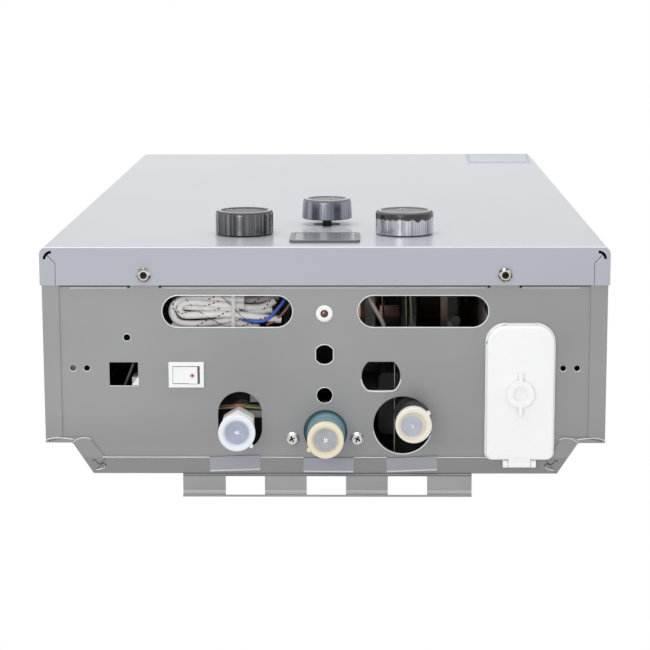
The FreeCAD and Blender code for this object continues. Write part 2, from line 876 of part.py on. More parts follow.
def make_cover():
    """Sheet tray with folded edges, corner reliefs, and holes for the knobs and the display."""
    cover = Solid("front_cover")
    middle = "cover_length / 2"
    cover.pad("XZ_Plane", "-cover_lip", "cover_lip",
              rectangle("0", middle, "cover_width", "cover_length"))
    cover.dress("Fillet", "cover_bend", lambda edge: ends_at(edge, "y", 0))
    hollow = Solid("cover_hollow")
    hollow.pad("XZ_Plane", "-cover_lip - cover_sheet", "cover_lip",
               rectangle("0", middle, "cover_width - 2 * cover_sheet",
                         "cover_length - 2 * cover_sheet"))
    hollow.dress("Fillet", "cover_bend - cover_sheet",
                 lambda edge: ends_at(edge, "y", number("cover_sheet")))
    cover.subtract(hollow)
    cover.pocket("XZ_Plane", "-2 * cover_sheet", "3 * cover_sheet",
                 circle("knob_left_across", "knob_low_height", "spindle_hole"),
                 circle("knob_right_across", "knob_low_height", "spindle_hole"),
                 circle("0", "knob_high_height", "spindle_high_hole"),
                 rounded("0", "display_height", "2 * (display_half - display_frame)",
                         "display_tall - 2 * display_frame", "display_corner - display_frame"))
    cover.pocket("XY_Plane", "-cover_sheet", "cover_length + 2 * cover_sheet",
                 circle("cover_screw_across", "cover_screw_depth", "screw_radius + screw_play"),
                 circle("-cover_screw_across", "cover_screw_depth", "screw_radius + screw_play"))
    for side, to_left in (("-1", True), ("1", False)):
        cover.pocket("XY_Plane", "-cover_sheet", "cover_length + 2 * cover_sheet",
                     quarter_ring(f"{side} * (cover_width / 2 - relief_across)", "relief_depth",
                                  "relief_radius", "relief_width", to_left))
        seam = "(cover_width / 2 - seam_inset)"
        bend = "(cover_width / 2 - relief_across - relief_radius / 2)"
        cover.pocket("XY_Plane", "-cover_sheet", "cover_length + 2 * cover_sheet", polygon([
            (f"{side} * ({seam} + seam_gap)", "seam_start"),
            (f"{side} * ({bend} + seam_gap)", "relief_depth - relief_radius / 3"),
            (f"{side} * {bend}", "relief_depth - relief_radius / 3 - seam_gap / 2"),
            (f"{side} * {seam}", "seam_start - seam_gap / 2"),
            (f"{side} * {seam}", "cover_lip + seam_gap"),
            (f"{side} * ({seam} + seam_gap)", "cover_lip + seam_gap"),
        ]))
    cover.at()


def panel_blank(label, start):
    """Return a flat end panel that lies inside the casing against an end flange."""
    panel = Solid(label)
    panel.pad("XY_Plane", start, "panel_sheet",
              polygon(case_outline("(case_sheet + panel_play)", "panel_front")))
    for side in ("-1", "1"):
        across = f"{side} * cover_screw_across"
        tab = "(panel_front + panel_sheet - tab_front)"
        panel.pad("XY_Plane", start, "panel_sheet",
                  rectangle(across, f"tab_front + {tab} / 2", "2 * tab_half", tab))
        for notch in ("-1", "1"):
            panel.pocket("XY_Plane", start, "panel_sheet", rectangle(
                f"{across} + {notch} * (tab_half + tab_notch / 2)",
                "panel_front + notch_depth / 2", "tab_notch", "notch_depth + panel_play"))
    panel.pocket("XY_Plane", start, "panel_sheet",
                 circle("cover_screw_across", "cover_screw_depth", "screw_radius + screw_play"),
                 circle("-cover_screw_across", "cover_screw_depth", "screw_radius + screw_play"))
    return panel


def make_bottom_panel():
    """Connection panel with air slots, openings for the fittings and seats for the controls."""
    panel = panel_blank("bottom_panel", PANEL_FACE)
    stiffener = "2 * (cover_screw_across - tab_half - tab_notch)"
    panel.pad("XY_Plane", PANEL_FACE, "panel_upstand",
              rectangle("0", "panel_front + panel_sheet / 2", stiffener, "panel_sheet"))
    reach = "(slot_length / 2 - slot_radius)"
    air = [obround(f"{across} - {reach}", "slot_depth", f"{across} + {reach}", "slot_depth",
                   "slot_radius") for across in ("left_slot_across", "right_slot_across")]
    panel.pocket("XY_Plane", PANEL_FACE, "panel_sheet", *air)
    panel.pocket("XY_Plane", PANEL_FACE, "panel_sheet",
                 circle("0", "lamp_depth", "lamp_hole_radius"),
                 rectangle("switch_across", "switch_depth",
                           "switch_body_width + 2 * switch_play",
                           "switch_body_height + 2 * switch_play"),
                 rectangle("battery_across", "battery_middle",
                           "battery_width - 2 * battery_body_inset + 2 * switch_play",
                           "battery_height - 2 * battery_body_inset + 2 * switch_play"))
    panel.pocket("XY_Plane", PANEL_FACE, "panel_sheet",
                 flatted("0", "key_hole_depth", "key_hole_radius", "key_hole_half", True),
                 circle("0", "round_hole_depth", "round_hole_radius"),
                 flatted("flat_hole_across", "flat_hole_depth", "flat_hole_radius",
                         "flat_hole_half", False),
                 circle("rivet_hole_across", "rivet_hole_depth", "rivet_hole_radius"),
                 rectangle("window_across", "window_depth", "window_width", "window_height"))
    pairs = [circle(f"{side} * {across}", "pair_hole_depth", "pair_hole_radius")
             for side in ("-1", "1") for across in ("pair_inner", "pair_outer")]
    panel.pocket("XY_Plane", PANEL_FACE, "panel_sheet", *pairs)
    panel.pocket("XY_Plane", PANEL_FACE, "panel_sheet",
                 obround("gas_hole_across", "gas_hole_near", "gas_hole_across", "gas_hole_far",
                         "gas_hole_radius"),
                 circle("hot_hole_across", "hot_hole_depth", "hot_hole_radius"),
                 circle("cold_hole_across", "cold_hole_depth", "cold_hole_radius"),
                 circle("outlet_screw_across", "outlet_screw_depth", "screw_radius + screw_play"),
                 circle("-outlet_screw_across", "outlet_screw_depth", "screw_radius + screw_play"))
    panel.at()


def make_top_panel():
    """Upper end panel with the flue hole and a row of air slots on each side."""
    start = f"(cover_length - {PANEL_INSIDE})"
    panel = panel_blank("top_panel", start)
    panel.pocket("XY_Plane", start, "panel_sheet",
                 circle("0", "flue_depth", "flue_radius - flue_sheet + flue_play"))
    half = "(air_slot_length / 2)"
    for side in ("-1", "1"):
        first = panel.pocket("XY_Plane", start, "panel_sheet", obround(
            f"{side} * (air_slot_across + {half}) - {half}", "air_slot_depth",
            f"{side} * (air_slot_across + {half}) + {half}", "air_slot_depth", "air_slot_radius"))
        panel.row(first, "Y_Axis", "air_slot_pitch * (air_slot_count - 1)", "air_slot_count")
    panel.at()


def make_brackets():
    """Stepped brackets that stand the casing off the wall, the lower one with windows."""
    lower = Solid("wall_bracket_lower")
    near = f"({BACK} + bracket_sheet)"
    far = "(cover_front - bracket_sheet)"
    lower.pad("YZ_Plane", "bracket_shift - bracket_half", "2 * bracket_half", polygon([
        (BACK, "0"), (BACK, "bracket_seat"), (near, "bracket_seat"), (near, "bracket_sheet"),
        ("cover_front", "bracket_sheet"), ("cover_front", "-foot_reach"), (far, "-foot_reach"),
        (far, "0")]))
    lower.dress("Fillet", "bracket_sheet / 2", lambda edge: runs_along(edge, "x")
                and edge.Vertexes[0].Point.z > -TINY
                and edge.Vertexes[0].Point.z < number("bracket_sheet") + TINY)
    middles = [f"foot_window_left + {count} * foot_window_pitch" for count in range(3)]
    lower.pocket("XZ_Plane", "-cover_front", "wall_gap - bracket_sheet",
                 *[rectangle(middle, "(foot_window_end + bracket_sheet - foot_reach) / 2",
                             "2 * foot_window_half",
                             "foot_reach + bracket_sheet - foot_window_end")
                   for middle in middles])
    lower.at()
    upper = Solid("wall_bracket_upper")
    top = "cover_length"
    upper.pad("YZ_Plane", "-bracket_half", "2 * bracket_half", polygon([
        (BACK, top), (BACK, f"{top} - bracket_seat"), (near, f"{top} - bracket_seat"),
        (near, f"{top} - bracket_sheet"), ("cover_front", f"{top} - bracket_sheet"),
        ("cover_front", f"{top} + hang_reach"), (far, f"{top} + hang_reach"), (far, top)]))
    upper.dress("Fillet", "bracket_sheet / 2", lambda edge: runs_along(edge, "x")
                and edge.Vertexes[0].Point.z < number(top) + TINY
                and edge.Vertexes[0].Point.z > number(f"{top} - bracket_sheet") - TINY)
    upper.pocket("XZ_Plane", "-cover_front", "bracket_sheet",
                 circle("-hang_spacing / 2", "hang_height", "hang_hole_radius"),
                 circle("hang_spacing / 2", "hang_height", "hang_hole_radius"))
    upper.at()


def make_screws():
    """Pan-head screws with a cross recess, for the cover and for the outlet flange."""
    screw = Solid("pan_screw")
    screw.revolve([("0", "screw_head"), ("screw_crown_radius", "screw_head"),
                   ("screw_head_radius", "screw_edge"), ("screw_head_radius", "0"),
                   ("screw_radius", "0"), ("screw_radius", "-screw_length"),
                   ("0", "-screw_length")])
    screw.pocket("XY_Plane", "screw_head - recess_depth", "recess_depth",
                 polygon([("-recess_width / 2", "-recess_arm"), ("recess_width / 2", "-recess_arm"),
                          ("recess_width / 2", "-recess_width / 2"),
                          ("recess_arm", "-recess_width / 2"), ("recess_arm", "recess_width / 2"),
                          ("recess_width / 2", "recess_width / 2"),
                          ("recess_width / 2", "recess_arm"), ("-recess_width / 2", "recess_arm"),
                          ("-recess_width / 2", "recess_width / 2"),
                          ("-recess_arm", "recess_width / 2"),
                          ("-recess_arm", "-recess_width / 2"),
                          ("-recess_width / 2", "-recess_width / 2")]))
    group("cover_screws", screw, [
        (DOWNWARD, "-cover_screw_across", "cover_screw_depth", "0"),
        (DOWNWARD, "cover_screw_across", "cover_screw_depth", "0"),
        (UPRIGHT, "-cover_screw_across", "cover_screw_depth", "cover_length"),
        (UPRIGHT, "cover_screw_across", "cover_screw_depth", "cover_length")])
    group("outlet_screws", screw, [
        (DOWNWARD, "-outlet_screw_across", "outlet_screw_depth", PANEL_FACE),
        (DOWNWARD, "outlet_screw_across", "outlet_screw_depth", PANEL_FACE)])


def make_knob(label, across, height, radius, taper, tall, lift):
    """Hollow knob with a bevelled rim, a shallow dish on top and a bored boss."""
    roof = f"({tall} - knob_dish - knob_wall)"
    bevel = f"({radius} - {taper} - knob_bevel)"
    knob = Solid(label)
    knob.revolve([
        ("0", f"{tall} - knob_dish"), (f"{bevel} - knob_rim", f"{tall} - knob_dish"),
        (f"{bevel} - knob_rim + knob_dish", tall),
        (bevel, tall), (f"{radius} - {taper}", f"{tall} - knob_bevel"),
        (radius, "0"), (f"{radius} - knob_wall", "0"), (f"{radius} - {taper} - knob_wall", roof),
        ("knob_boss", roof), ("knob_boss", "knob_dish"),
        ("spindle_radius + spindle_play", "knob_dish"), ("spindle_radius + spindle_play", roof),
        ("0", roof)])
    knob.at(across, f"-{lift}", height, TO_FRONT)


def make_knobs():
    """The three knobs and the spindles that they turn."""
    make_knob("knob_left", "knob_left_across", "knob_low_height", "knob_radius", "0",
              "knob_height", "knob_lift")
    make_knob("knob_right", "knob_right_across", "knob_low_height", "knob_radius", "0",
              "knob_height", "knob_lift")
    make_knob("knob_centre", "0", "knob_high_height", "knob_small_radius", "knob_small_taper",
              "knob_small_height", "knob_small_lift")
    valve_front = "(gas_depth - valve_near - valve_boss_reach + spindle_seat)"
    water_front = "(cold_depth - valve_near - valve_boss_reach + spindle_seat)"
    routes = [
        ("spindle_left", "knob_left_across", "knob_low_height", valve_front,
         "knob_height + knob_lift"),
        ("spindle_right", "knob_right_across", "knob_low_height", water_front,
         "knob_height + knob_lift"),
        ("spindle_centre", "0", "knob_high_height", "(high_boss_depth + spindle_seat)",
         "knob_small_height + knob_small_lift"),
    ]
    for label, across, height, seat, tip in routes:
        spindle = Solid(label)
        length = f"({seat} + {tip} - knob_dish - knob_wall - spindle_tip_gap)"
        spindle.pad("XY_Plane", "0", length, circle("0", "0", "spindle_radius"))
        spindle.pocket("XY_Plane", f"{length} - spindle_seat", "spindle_seat",
                       rectangle("0", "spindle_radius", "2 * spindle_radius", "2 * spindle_flat"))
        spindle.at(across, seat, height, TO_FRONT)


def make_display():
    """Framed display with a dark window and a circuit board behind it."""
    wide = "2 * display_half"
    bezel = Solid("display_bezel")
    bezel.pad("XZ_Plane", "0", "display_rise",
              rounded("0", "display_height", wide, "display_tall", "display_corner"))
    body_wide = "2 * (display_half - display_frame - display_play)"
    body_tall = "(display_tall - 2 * (display_frame + display_play))"
    corner = "(display_corner - display_frame - display_play)"
    bezel.pad("XZ_Plane", "-display_depth", "display_depth + display_rise / 2",
              rounded("0", "display_height", body_wide, body_tall, corner))
    inset = "(display_window_inset + display_wall)"
    bezel.pocket("XZ_Plane", "-display_depth", "display_depth + 2 * display_rise",
                 rectangle("0", "display_height", f"2 * (display_half - {inset})",
                           f"display_tall - 2 * {inset}"))
    bezel.pocket("XZ_Plane", "display_rise - display_window_sheet", "display_window_sheet",
                 rounded("0", "display_height", "2 * (display_half - display_window_inset)",
                         "display_tall - 2 * display_window_inset", corner))
    bezel.at()
    window = Solid("display_window")
    window.pad("XZ_Plane", "display_rise - display_window_sheet", "display_window_sheet",
               rounded("0", "display_height",
                       "2 * (display_half - display_window_inset - display_play)",
                       "display_tall - 2 * (display_window_inset + display_play)", corner))
    window.at()
    board = Solid("display_board")
    board.pad("XZ_Plane", "-board_depth", "board_sheet",
              rectangle("0", "display_height", f"2 * (display_half - {inset} - display_play)",
                        f"display_tall - 2 * ({inset} + display_play)"))
    board.pad("XZ_Plane", "board_sheet - board_depth",
              "board_depth - board_sheet - display_window_sheet",
              rectangle("0", "display_height", "screen_width", "screen_tall"))
    board.at()


def make_fittings():
    """Threaded ends of the gas, hot and cold lines, the outlet's flange and its seal."""
    gas = Solid("gas_inlet_fitting")
    mouth = [("thread_bore", "-thread_end"), ("thread_radius - thread_chamfer", "-thread_end"),
             ("thread_radius", "thread_chamfer - thread_end")]
    gas.revolve(mouth + [("thread_radius", "-hexagon_start"), ("neck_radius", "-hexagon_start"),
                         ("neck_radius", "valve_base"), ("0", "valve_base"),
                         ("0", "valve_base - end_wall"), ("thread_bore", "valve_base - end_wall")])
    gas.pad("XY_Plane", "-hexagon_start", "hexagon_start + valve_base / 2",
            hexagon("0", "0", "hexagon_flats"))
    gas.pocket("XY_Plane", "-hexagon_start", "hexagon_start + valve_base - end_wall",
               circle("0", "0", "thread_bore"))
    gas.at("gas_across", "gas_depth")
    hot = Solid("hot_outlet_fitting")
    seat = f"({PANEL_INSIDE} + hot_flange_height)"
    hot.revolve(mouth + [("thread_radius", seat), ("thread_radius + flange_rim", seat),
                         ("thread_radius + flange_rim", f"{seat} + hot_flange_sheet"),
                         ("thread_radius", f"{seat} + hot_flange_sheet"),
                         ("thread_radius", f"{seat} + hot_stub"), ("0", f"{seat} + hot_stub"),
                         ("0", f"{seat} + hot_stub - end_wall"),
                         ("thread_bore", f"{seat} + hot_stub - end_wall")])
    drop = "(outlet_screw_depth - hot_depth)"
    left = "-outlet_screw_across - hot_across"
    right = "outlet_screw_across - hot_across"
    hot.pad("XY_Plane", PANEL_INSIDE, "hot_flange_height + hot_flange_sheet",
            circle(left, drop, "2 * screw_radius"), circle(right, drop, "2 * screw_radius"))
    hot.pad("XY_Plane", seat, "hot_flange_sheet",
            obround(left, drop, right, drop, "2 * screw_radius"))
    hot.pocket("XY_Plane", "-thread_end", f"{seat} + hot_stub - end_wall + thread_end",
               circle("0", "0", "thread_bore"))
    hot.pocket("XY_Plane", PANEL_INSIDE, "screw_length",
               circle(left, drop, "screw_radius + screw_play"),
               circle(right, drop, "screw_radius + screw_play"))
    hot.at("hot_across", "hot_depth")
    seal = Solid("hot_outlet_seal")
    seal.pad("XY_Plane", f"{PANEL_INSIDE} + seal_play",
             "hot_flange_height - 2 * seal_play",
             circle("0", "0", "hot_hole_radius + seal_play"))
    seal.pad("XY_Plane", f"{PANEL_FACE} - seal_play", "hot_flange_height",
             circle("0", "0", "hot_hole_radius - 3 * seal_play"))
    seal.pocket("XY_Plane", "0", f"{PANEL_INSIDE} + 2 * hot_flange_height",
                circle("0", "0", "thread_radius + seal_play"))
    seal.at("hot_across", "hot_depth")
    cold = Solid("cold_inlet_fitting")
    wide = "thread_radius + thread_chamfer"
    low = f"{PANEL_FACE} - neck_end"
    high = f"{PANEL_INSIDE} + neck_end"
    cold.revolve(mouth + [("thread_radius", low), ("neck_radius", low), ("neck_radius", high),
                          (wide, high), (wide, "valve_base"), ("0", "valve_base"),
                          ("0", "valve_base - end_wall"), ("thread_bore", "valve_base - end_wall")])
    cold.at("cold_across", "cold_depth")


def make_caps():
    """Moulded caps over the three threads, each with a dished end and a pull tab."""
    places = [("gas_cap", "gas_across", "gas_depth", 45), ("hot_cap", "hot_across", "hot_depth", 135),
              ("cold_cap", "cold_across", "cold_depth", -45)]
    inner = "(thread_radius + cap_play)"
    outer = "(thread_radius + cap_play + cap_wall)"
    dish = "(thread_end + cap_play + cap_end_wall)"
    face = "(thread_end + cap_play + cap_end_wall + cap_dish)"
    for label, across, depth, tab_turn in places:
        cap = Solid(label)
        cap.revolve([
            ("0", dish), ("cap_dish_radius", dish), ("cap_dish_radius + cap_dish_slope", face),
            (inner, face), (outer, f"{face} - cap_wall"), (outer, f"{face} - cap_length"),
            (inner, f"{face} - cap_length"), (inner, "thread_end + cap_play"),
            ("0", "thread_end + cap_play")])
        cap.pad("XY_Plane", f"{dish} - cap_tab_thickness", "cap_tab_thickness",
                rectangle(f"{outer} + (cap_tab_reach - cap_wall / 2) / 2", "0",
                          "cap_tab_reach + cap_wall / 2", "cap_tab"))
        cap.at(across, depth, "0", DOWNWARD * Rotation(Vector(0, 0, 1), -tab_turn))


def make_switch():
    """Snap-in rocker switch: a body with a bezel and terminals, and the rocker on its pivot."""
    body = Solid("switch_body")
    body.pad("XY_Plane", "0", "switch_bezel", rectangle("0", "0", "switch_width", "switch_height"))
    body.dress("Fillet", "switch_waist", lambda edge: ends_at(edge, "z", number("switch_bezel")))
    body.pad("XY_Plane", "-switch_body_depth", "switch_body_depth",
             rectangle("0", "0", "switch_body_width", "switch_body_height"))
    body.pad("XY_Plane", "-switch_body_depth - terminal_length", "terminal_length",
             rectangle("-terminal_offset", "0", "terminal_sheet", "terminal_width"),
             rectangle("terminal_offset", "0", "terminal_sheet", "terminal_width"))
    body.pocket("XY_Plane", "-rocker_well", "rocker_well + switch_bezel",
                rectangle("0", "0", "rocker_width + 2 * rocker_end_gap",
                          "rocker_height + 2 * rocker_gap"))
    body.pocket("XZ_Plane", "-switch_body_height / 2", "switch_body_height",
                circle("0", "-rocker_pivot_depth", "rocker_pivot + switch_play"))
    body.at("switch_across", "switch_depth", PANEL_FACE, DOWNWARD)
    rocker = Solid("switch_rocker")
    half = "(rocker_width / 2)"
    top = "(rocker_pivot_depth + switch_bezel)"
    rocker.pad("XZ_Plane", "-rocker_height / 2", "rocker_height", polygon([
        (f"-{half}", "rocker_pivot / 2"), (f"-{half}", f"{top} + rocker_rise"),
        ("0", f"{top} + rocker_rise - rocker_dip"), (half, f"{top} + rocker_rise"),
        (half, "rocker_pivot / 2"), (f"{half} / 2", "-rocker_pivot - rocker_gap"),
        (f"-{half} / 2", "-rocker_pivot - rocker_gap")]))
    rocker.pad("XZ_Plane", "-switch_body_height / 2 + rocker_gap",
               "switch_body_height - 2 * rocker_gap", circle("0", "0", "rocker_pivot"))
    tilt = Rotation(Vector(0, 1, 0), number("rocker_tilt"))
    rocker.at("switch_across", "switch_depth", f"{PANEL_FACE} + rocker_pivot_depth",
              tilt * DOWNWARD)


def make_lamp():
    """Pilot lamp: a ring clipped into the panel and the coloured lens inside it."""
    ring = Solid("led_bezel")
    seat = "(lamp_radius + lamp_seat_play)"
    ring.revolve([(seat, "-lamp_length"), (seat, "lamp_ring_rise - lamp_seat_play"),
                  ("lamp_hole_radius", "lamp_ring_rise"),
                  ("lamp_ring_radius", "lamp_ring_rise / 2"), ("lamp_ring_radius", "0"),
                  ("lamp_hole_radius - lamp_seat_play", "0"),
                  ("lamp_hole_radius - lamp_seat_play", "-lamp_length")])
    ring.at("0", "lamp_depth", PANEL_FACE, DOWNWARD)
    lamp = Solid("led_lamp")
    lamp.pad("XY_Plane", "-lamp_length", "lamp_length + lamp_ring_rise + lamp_rise",
             circle("0", "0", "lamp_radius"))
    lamp.dress("Fillet", "lamp_round",
               lambda edge: ends_at(edge, "z", number("lamp_ring_rise + lamp_rise")))
    lamp.at("0", "lamp_depth", PANEL_FACE, DOWNWARD)


RIM_FACE = f"({PANEL_FACE} - battery_rim)"
LID_INSIDE = f"({RIM_FACE} - lid_gap)"
LID_FACE = f"({LID_INSIDE} - lid_sheet)"
HINGE_HEIGHT = f"({RIM_FACE} - hinge_drop)"


def make_battery_box():
    """Compartment for two round cells side by side, open at its rim, with ears for the lid."""
    box = Solid("battery_box")
    box.pad("XY_Plane", RIM_FACE, "battery_rim",
            rounded("battery_across", "battery_middle", "battery_width", "battery_height",
                    "battery_near_corner", "battery_far_corner"))
    wide = "(battery_width - 2 * battery_body_inset)"
    tall = "(battery_height - 2 * battery_body_inset)"
    box.pad("XY_Plane", f"{PANEL_FACE} - battery_rim / 2", "battery_body_depth + battery_rim / 2",
            rectangle("battery_across", "battery_middle", wide, tall))
    bay = f"(({tall} - 2 * battery_wall) / 2 - partition_half)"
    shift = f"(partition_half + {bay} / 2)"
    bays = [rectangle("battery_across", f"battery_middle {sign} {shift}",
                      f"{wide} - 2 * battery_wall", bay) for sign in ("-", "+")]
    box.pocket("XY_Plane", RIM_FACE, "battery_rim + battery_body_depth - battery_wall", *bays)
    mouth = f"({PANEL_FACE} + latch_throat)"
    roof = f"({mouth} + latch_chamber)"
    left = "battery_across - latch_throat_half"
    right = "battery_across + latch_throat_half"
    box.pocket("XZ_Plane", "-battery_middle - partition_half", "2 * partition_half", polygon([
        (left, f"{RIM_FACE} - lid_gap"), (right, f"{RIM_FACE} - lid_gap"), (right, mouth),
        ("battery_across + latch_chamber_half", mouth),
        ("battery_across + latch_chamber_half", roof),
        ("battery_across - latch_chamber_half", roof),
        ("battery_across - latch_chamber_half", mouth), (left, mouth)]))
    edge = "(battery_middle + battery_height / 2)"
    for side in ("-1", "1"):
        start = f"battery_across + {side} * (hinge_half - hinge_ear / 2) - hinge_ear / 2"
        box.pad("YZ_Plane", start, "hinge_ear",
                rectangle(f"({edge} - battery_body_inset / 2 + hinge_depth) / 2",
                          f"({RIM_FACE} + {RIM_FACE} + hinge_radius) / 2",
                          f"hinge_depth - {edge} + battery_body_inset / 2", "hinge_radius"))
        box.pad("YZ_Plane", start, "hinge_ear", circle("hinge_depth", HINGE_HEIGHT, "hinge_radius"))
    box.pocket("YZ_Plane", "battery_across - hinge_half", "2 * hinge_half",
               circle("hinge_depth", HINGE_HEIGHT, "hinge_pin_radius + hinge_pin_play"))
    box.at()
    contacts = Solid("battery_contacts")
    contacts.pad("XY_Plane", f"{PANEL_FACE} + battery_body_depth - battery_wall - contact_rise",
                 "contact_rise",
                 circle("battery_across", f"battery_middle - {shift}", "contact_radius"),
                 circle("battery_across", f"battery_middle + {shift}", "contact_radius"))
    contacts.at()


def make_battery_lid():
    """Lid with a rounded edge on a hinge pin, and its quarter-turn latch."""
    lid = Solid("battery_lid")
    lid.pad("XY_Plane", LID_FACE, "lid_sheet",
            rounded("battery_across", "battery_middle", "battery_width - 2 * lid_inset",
                    "battery_height - 2 * lid_inset", "battery_near_corner - lid_inset",
                    "battery_far_corner - lid_inset"))
    lid.dress("Fillet", "lid_round", lambda edge: ends_at(edge, "z", number(LID_FACE)))
    lid.pocket("XY_Plane", f"{LID_INSIDE} - lid_hollow", "lid_hollow",
               rectangle("battery_across", "battery_middle",
                         "battery_width - 2 * (lid_inset + lid_rim_width)",
                         "battery_height - 2 * battery_near_corner"))
    knuckle = "(hinge_half - hinge_ear - hinge_side_play)"
    edge = "(battery_middle + battery_height / 2 - lid_inset)"
    lid.pad("YZ_Plane", f"battery_across - {knuckle}", f"2 * {knuckle}",
            rectangle(f"({edge} - lid_rim_width / 2 + hinge_depth) / 2",
                      f"{LID_INSIDE} - lid_sheet / 4",
                      f"hinge_depth - {edge} + lid_rim_width / 2", "lid_sheet / 2"))
    lid.pad("YZ_Plane", f"battery_across - {knuckle}", f"2 * {knuckle}",
            circle("hinge_depth", HINGE_HEIGHT, "hinge_radius"))
    lid.pocket("YZ_Plane", f"battery_across - {knuckle}", f"2 * {knuckle}",
               circle("hinge_depth", HINGE_HEIGHT, "hinge_pin_radius + hinge_pin_play"))
    lid.pocket("XY_Plane", LID_FACE, "lid_sheet",
               circle("battery_across", "latch_depth", "latch_stem + latch_play"))
    lid.at()
    pin = Solid("lid_hinge_pin")
    pin.pad("YZ_Plane", "-hinge_half", "2 * hinge_half", circle("0", "0", "hinge_pin_radius"))
    pin.at("battery_across", "hinge_depth", HINGE_HEIGHT)
    latch = Solid("battery_latch")
    tongue = f"({PANEL_FACE} + latch_throat + latch_play - {LID_FACE})"
    latch.revolve([("0", f"-{tongue}"), ("latch_stem", f"-{tongue}"), ("latch_stem", "latch_play"),
                   ("latch_radius", "latch_play"), ("latch_radius", "latch_play + latch_rise"),
                   ("latch_ring", "latch_play + latch_rise"),
                   ("latch_ring", "latch_play + latch_floor"), ("0", "latch_play + latch_floor")])
    rib = "(latch_rib_reach - latch_ring - latch_floor)"
    for side in ("-1", "1"):
        latch.pad("XY_Plane", "latch_play", "latch_rise + latch_play",
                  rectangle("0", f"{side} * (latch_rib_reach - {rib} / 2)", "latch_rib_width", rib))
    latch.pad("XY_Plane", f"-{tongue} - latch_tongue_sheet", "latch_tongue_sheet",
              rectangle("0", "0", "2 * latch_tongue_half", "2 * latch_tongue_reach"))
    latch.at("battery_across", "latch_depth", LID_FACE, DOWNWARD)


def make_flue():
    """Collar on the upper panel and the hood that leads the flue gas up to it."""
    collar = Solid("flue_collar")
    rise = f"(flue_rise + {PANEL_FACE})"
    collar.revolve([("flue_radius - flue_sheet", "0"), ("flue_radius + flue_flange", "0"),
                    ("flue_radius + flue_flange", "flue_sheet"), ("flue_radius", "flue_sheet"),
                    ("flue_radius", rise), ("flue_radius - flue_sheet", rise)])
    collar.at("0", "flue_depth", f"cover_length - {PANEL_FACE}")
    hood = Solid("draught_hood")
    base = "(chamber_top + exchanger_height)"
    middle = f"({base} + hood_box_height)"
    neck = "(flue_radius - flue_sheet - flue_play)"
    top = f"(2 * ({neck} + hood_top_rim))"
    for kind, sheet in (("AdditiveLoft", "0"), ("SubtractiveLoft", "flue_sheet")):
        loft = hood.body.newObject(f"PartDesign::{kind}", "loft")
        loft.Profile = hood.sketch("XY_Plane", base, [
            rectangle("0", CHAMBER_MIDDLE, f"2 * (chamber_half - {sheet})",
                      f"chamber_far - chamber_near - 2 * {sheet}")])
        loft.Sections = [hood.sketch("XY_Plane", middle, [
            rectangle("0", "flue_depth", f"{top} - 2 * {sheet}", f"{top} - 2 * {sheet}")])]
    hood.pad("XY_Plane", middle, "flue_sheet", rectangle("0", "flue_depth", top, top))
    hood.pad("XY_Plane", middle, f"cover_length - {middle}", circle("0", "flue_depth", neck))
    hood.pocket("XY_Plane", middle, f"cover_length - {middle}",
                circle("0", "flue_depth", f"{neck} - flue_sheet"))
    hood.at()


def chamber_ring(solid, start, height, sheet):
    """Add a rectangular sleeve with the chamber's outer size to a piece."""
    wide = "2 * chamber_half"
    deep = "(chamber_far - chamber_near)"
    solid.pad("XY_Plane", start, height, rectangle("0", CHAMBER_MIDDLE, wide, deep))
    solid.pocket("XY_Plane", start, height,
                 rectangle("0", CHAMBER_MIDDLE, f"{wide} - 2 * {sheet}", f"{deep} - 2 * {sheet}"))


def make_burner():
    """Burner frame on rails, the row of burner bars, and the igniter through the front wall."""
    frame = Solid("burner_frame")
    chamber_ring(frame, "burner_base", "burner_height", "strap_sheet")
    electrodes = [(f"electrode_across {sign} electrode_pitch / 2", "burner_base + electrode_height")
                  for sign in ("-", "+")]
    for depth in ("chamber_near + strap_sheet", "chamber_far - strap_sheet - bar_lift"):
        frame.pad("XZ_Plane", f"-({depth} + bar_lift)", "bar_lift",
                  rectangle("0", "burner_base + bar_lift - strap_sheet / 2",
                            "2 * (chamber_half - strap_sheet / 2)", "strap_sheet"))
    frame.pocket("XZ_Plane", "-chamber_near - strap_sheet", "strap_sheet",
                 *[circle(x, z, "electrode_radius + lamp_seat_play") for x, z in electrodes])
    frame.at()
    bars = Solid("burner_bars")
    first = "(-bar_pitch * (bar_count - 1) / 2)"
    deep = "(chamber_far - chamber_near - 2 * bar_inset)"
    low = "burner_base + bar_lift"
    bar = bars.pad("XZ_Plane", "-chamber_far + bar_inset", deep, polygon([
        (f"{first} - bar_neck", low), (f"{first} + bar_neck", low),
        (f"{first} + bar_width / 2", f"{low} + bar_shoulder"),
        (f"{first} + bar_neck", f"{low} + bar_height"),
        (f"{first} - bar_neck", f"{low} + bar_height"),
        (f"{first} - bar_width / 2", f"{low} + bar_shoulder")]))
    bars.row(bar, "X_Axis", "bar_pitch * (bar_count - 1)", "bar_count")
    bars.at()
    chamber = Solid("combustion_chamber")
    base = "(burner_base + burner_height)"
    chamber_ring(chamber, base, f"chamber_top - {base}", "chamber_sheet")
    chamber.at()
    igniter = Solid("ignition_electrodes")
    igniter.pad("XZ_Plane", "-chamber_near - electrode_length / 2", "electrode_length",
                *[circle(x, z, "electrode_radius") for x, z in electrodes])
    igniter.pad("XZ_Plane", "-chamber_near - electrode_length", "electrode_length",
                *[circle(x, z, "electrode_wire") for x, z in electrodes])
    igniter.at()
    sensor = Solid("overheat_sensor")
    sensor.pad("XZ_Plane", "-chamber_near", "sensor_height",
               circle("sensor_across", "chamber_top - 2 * sensor_radius", "sensor_radius"))
    sensor.at()


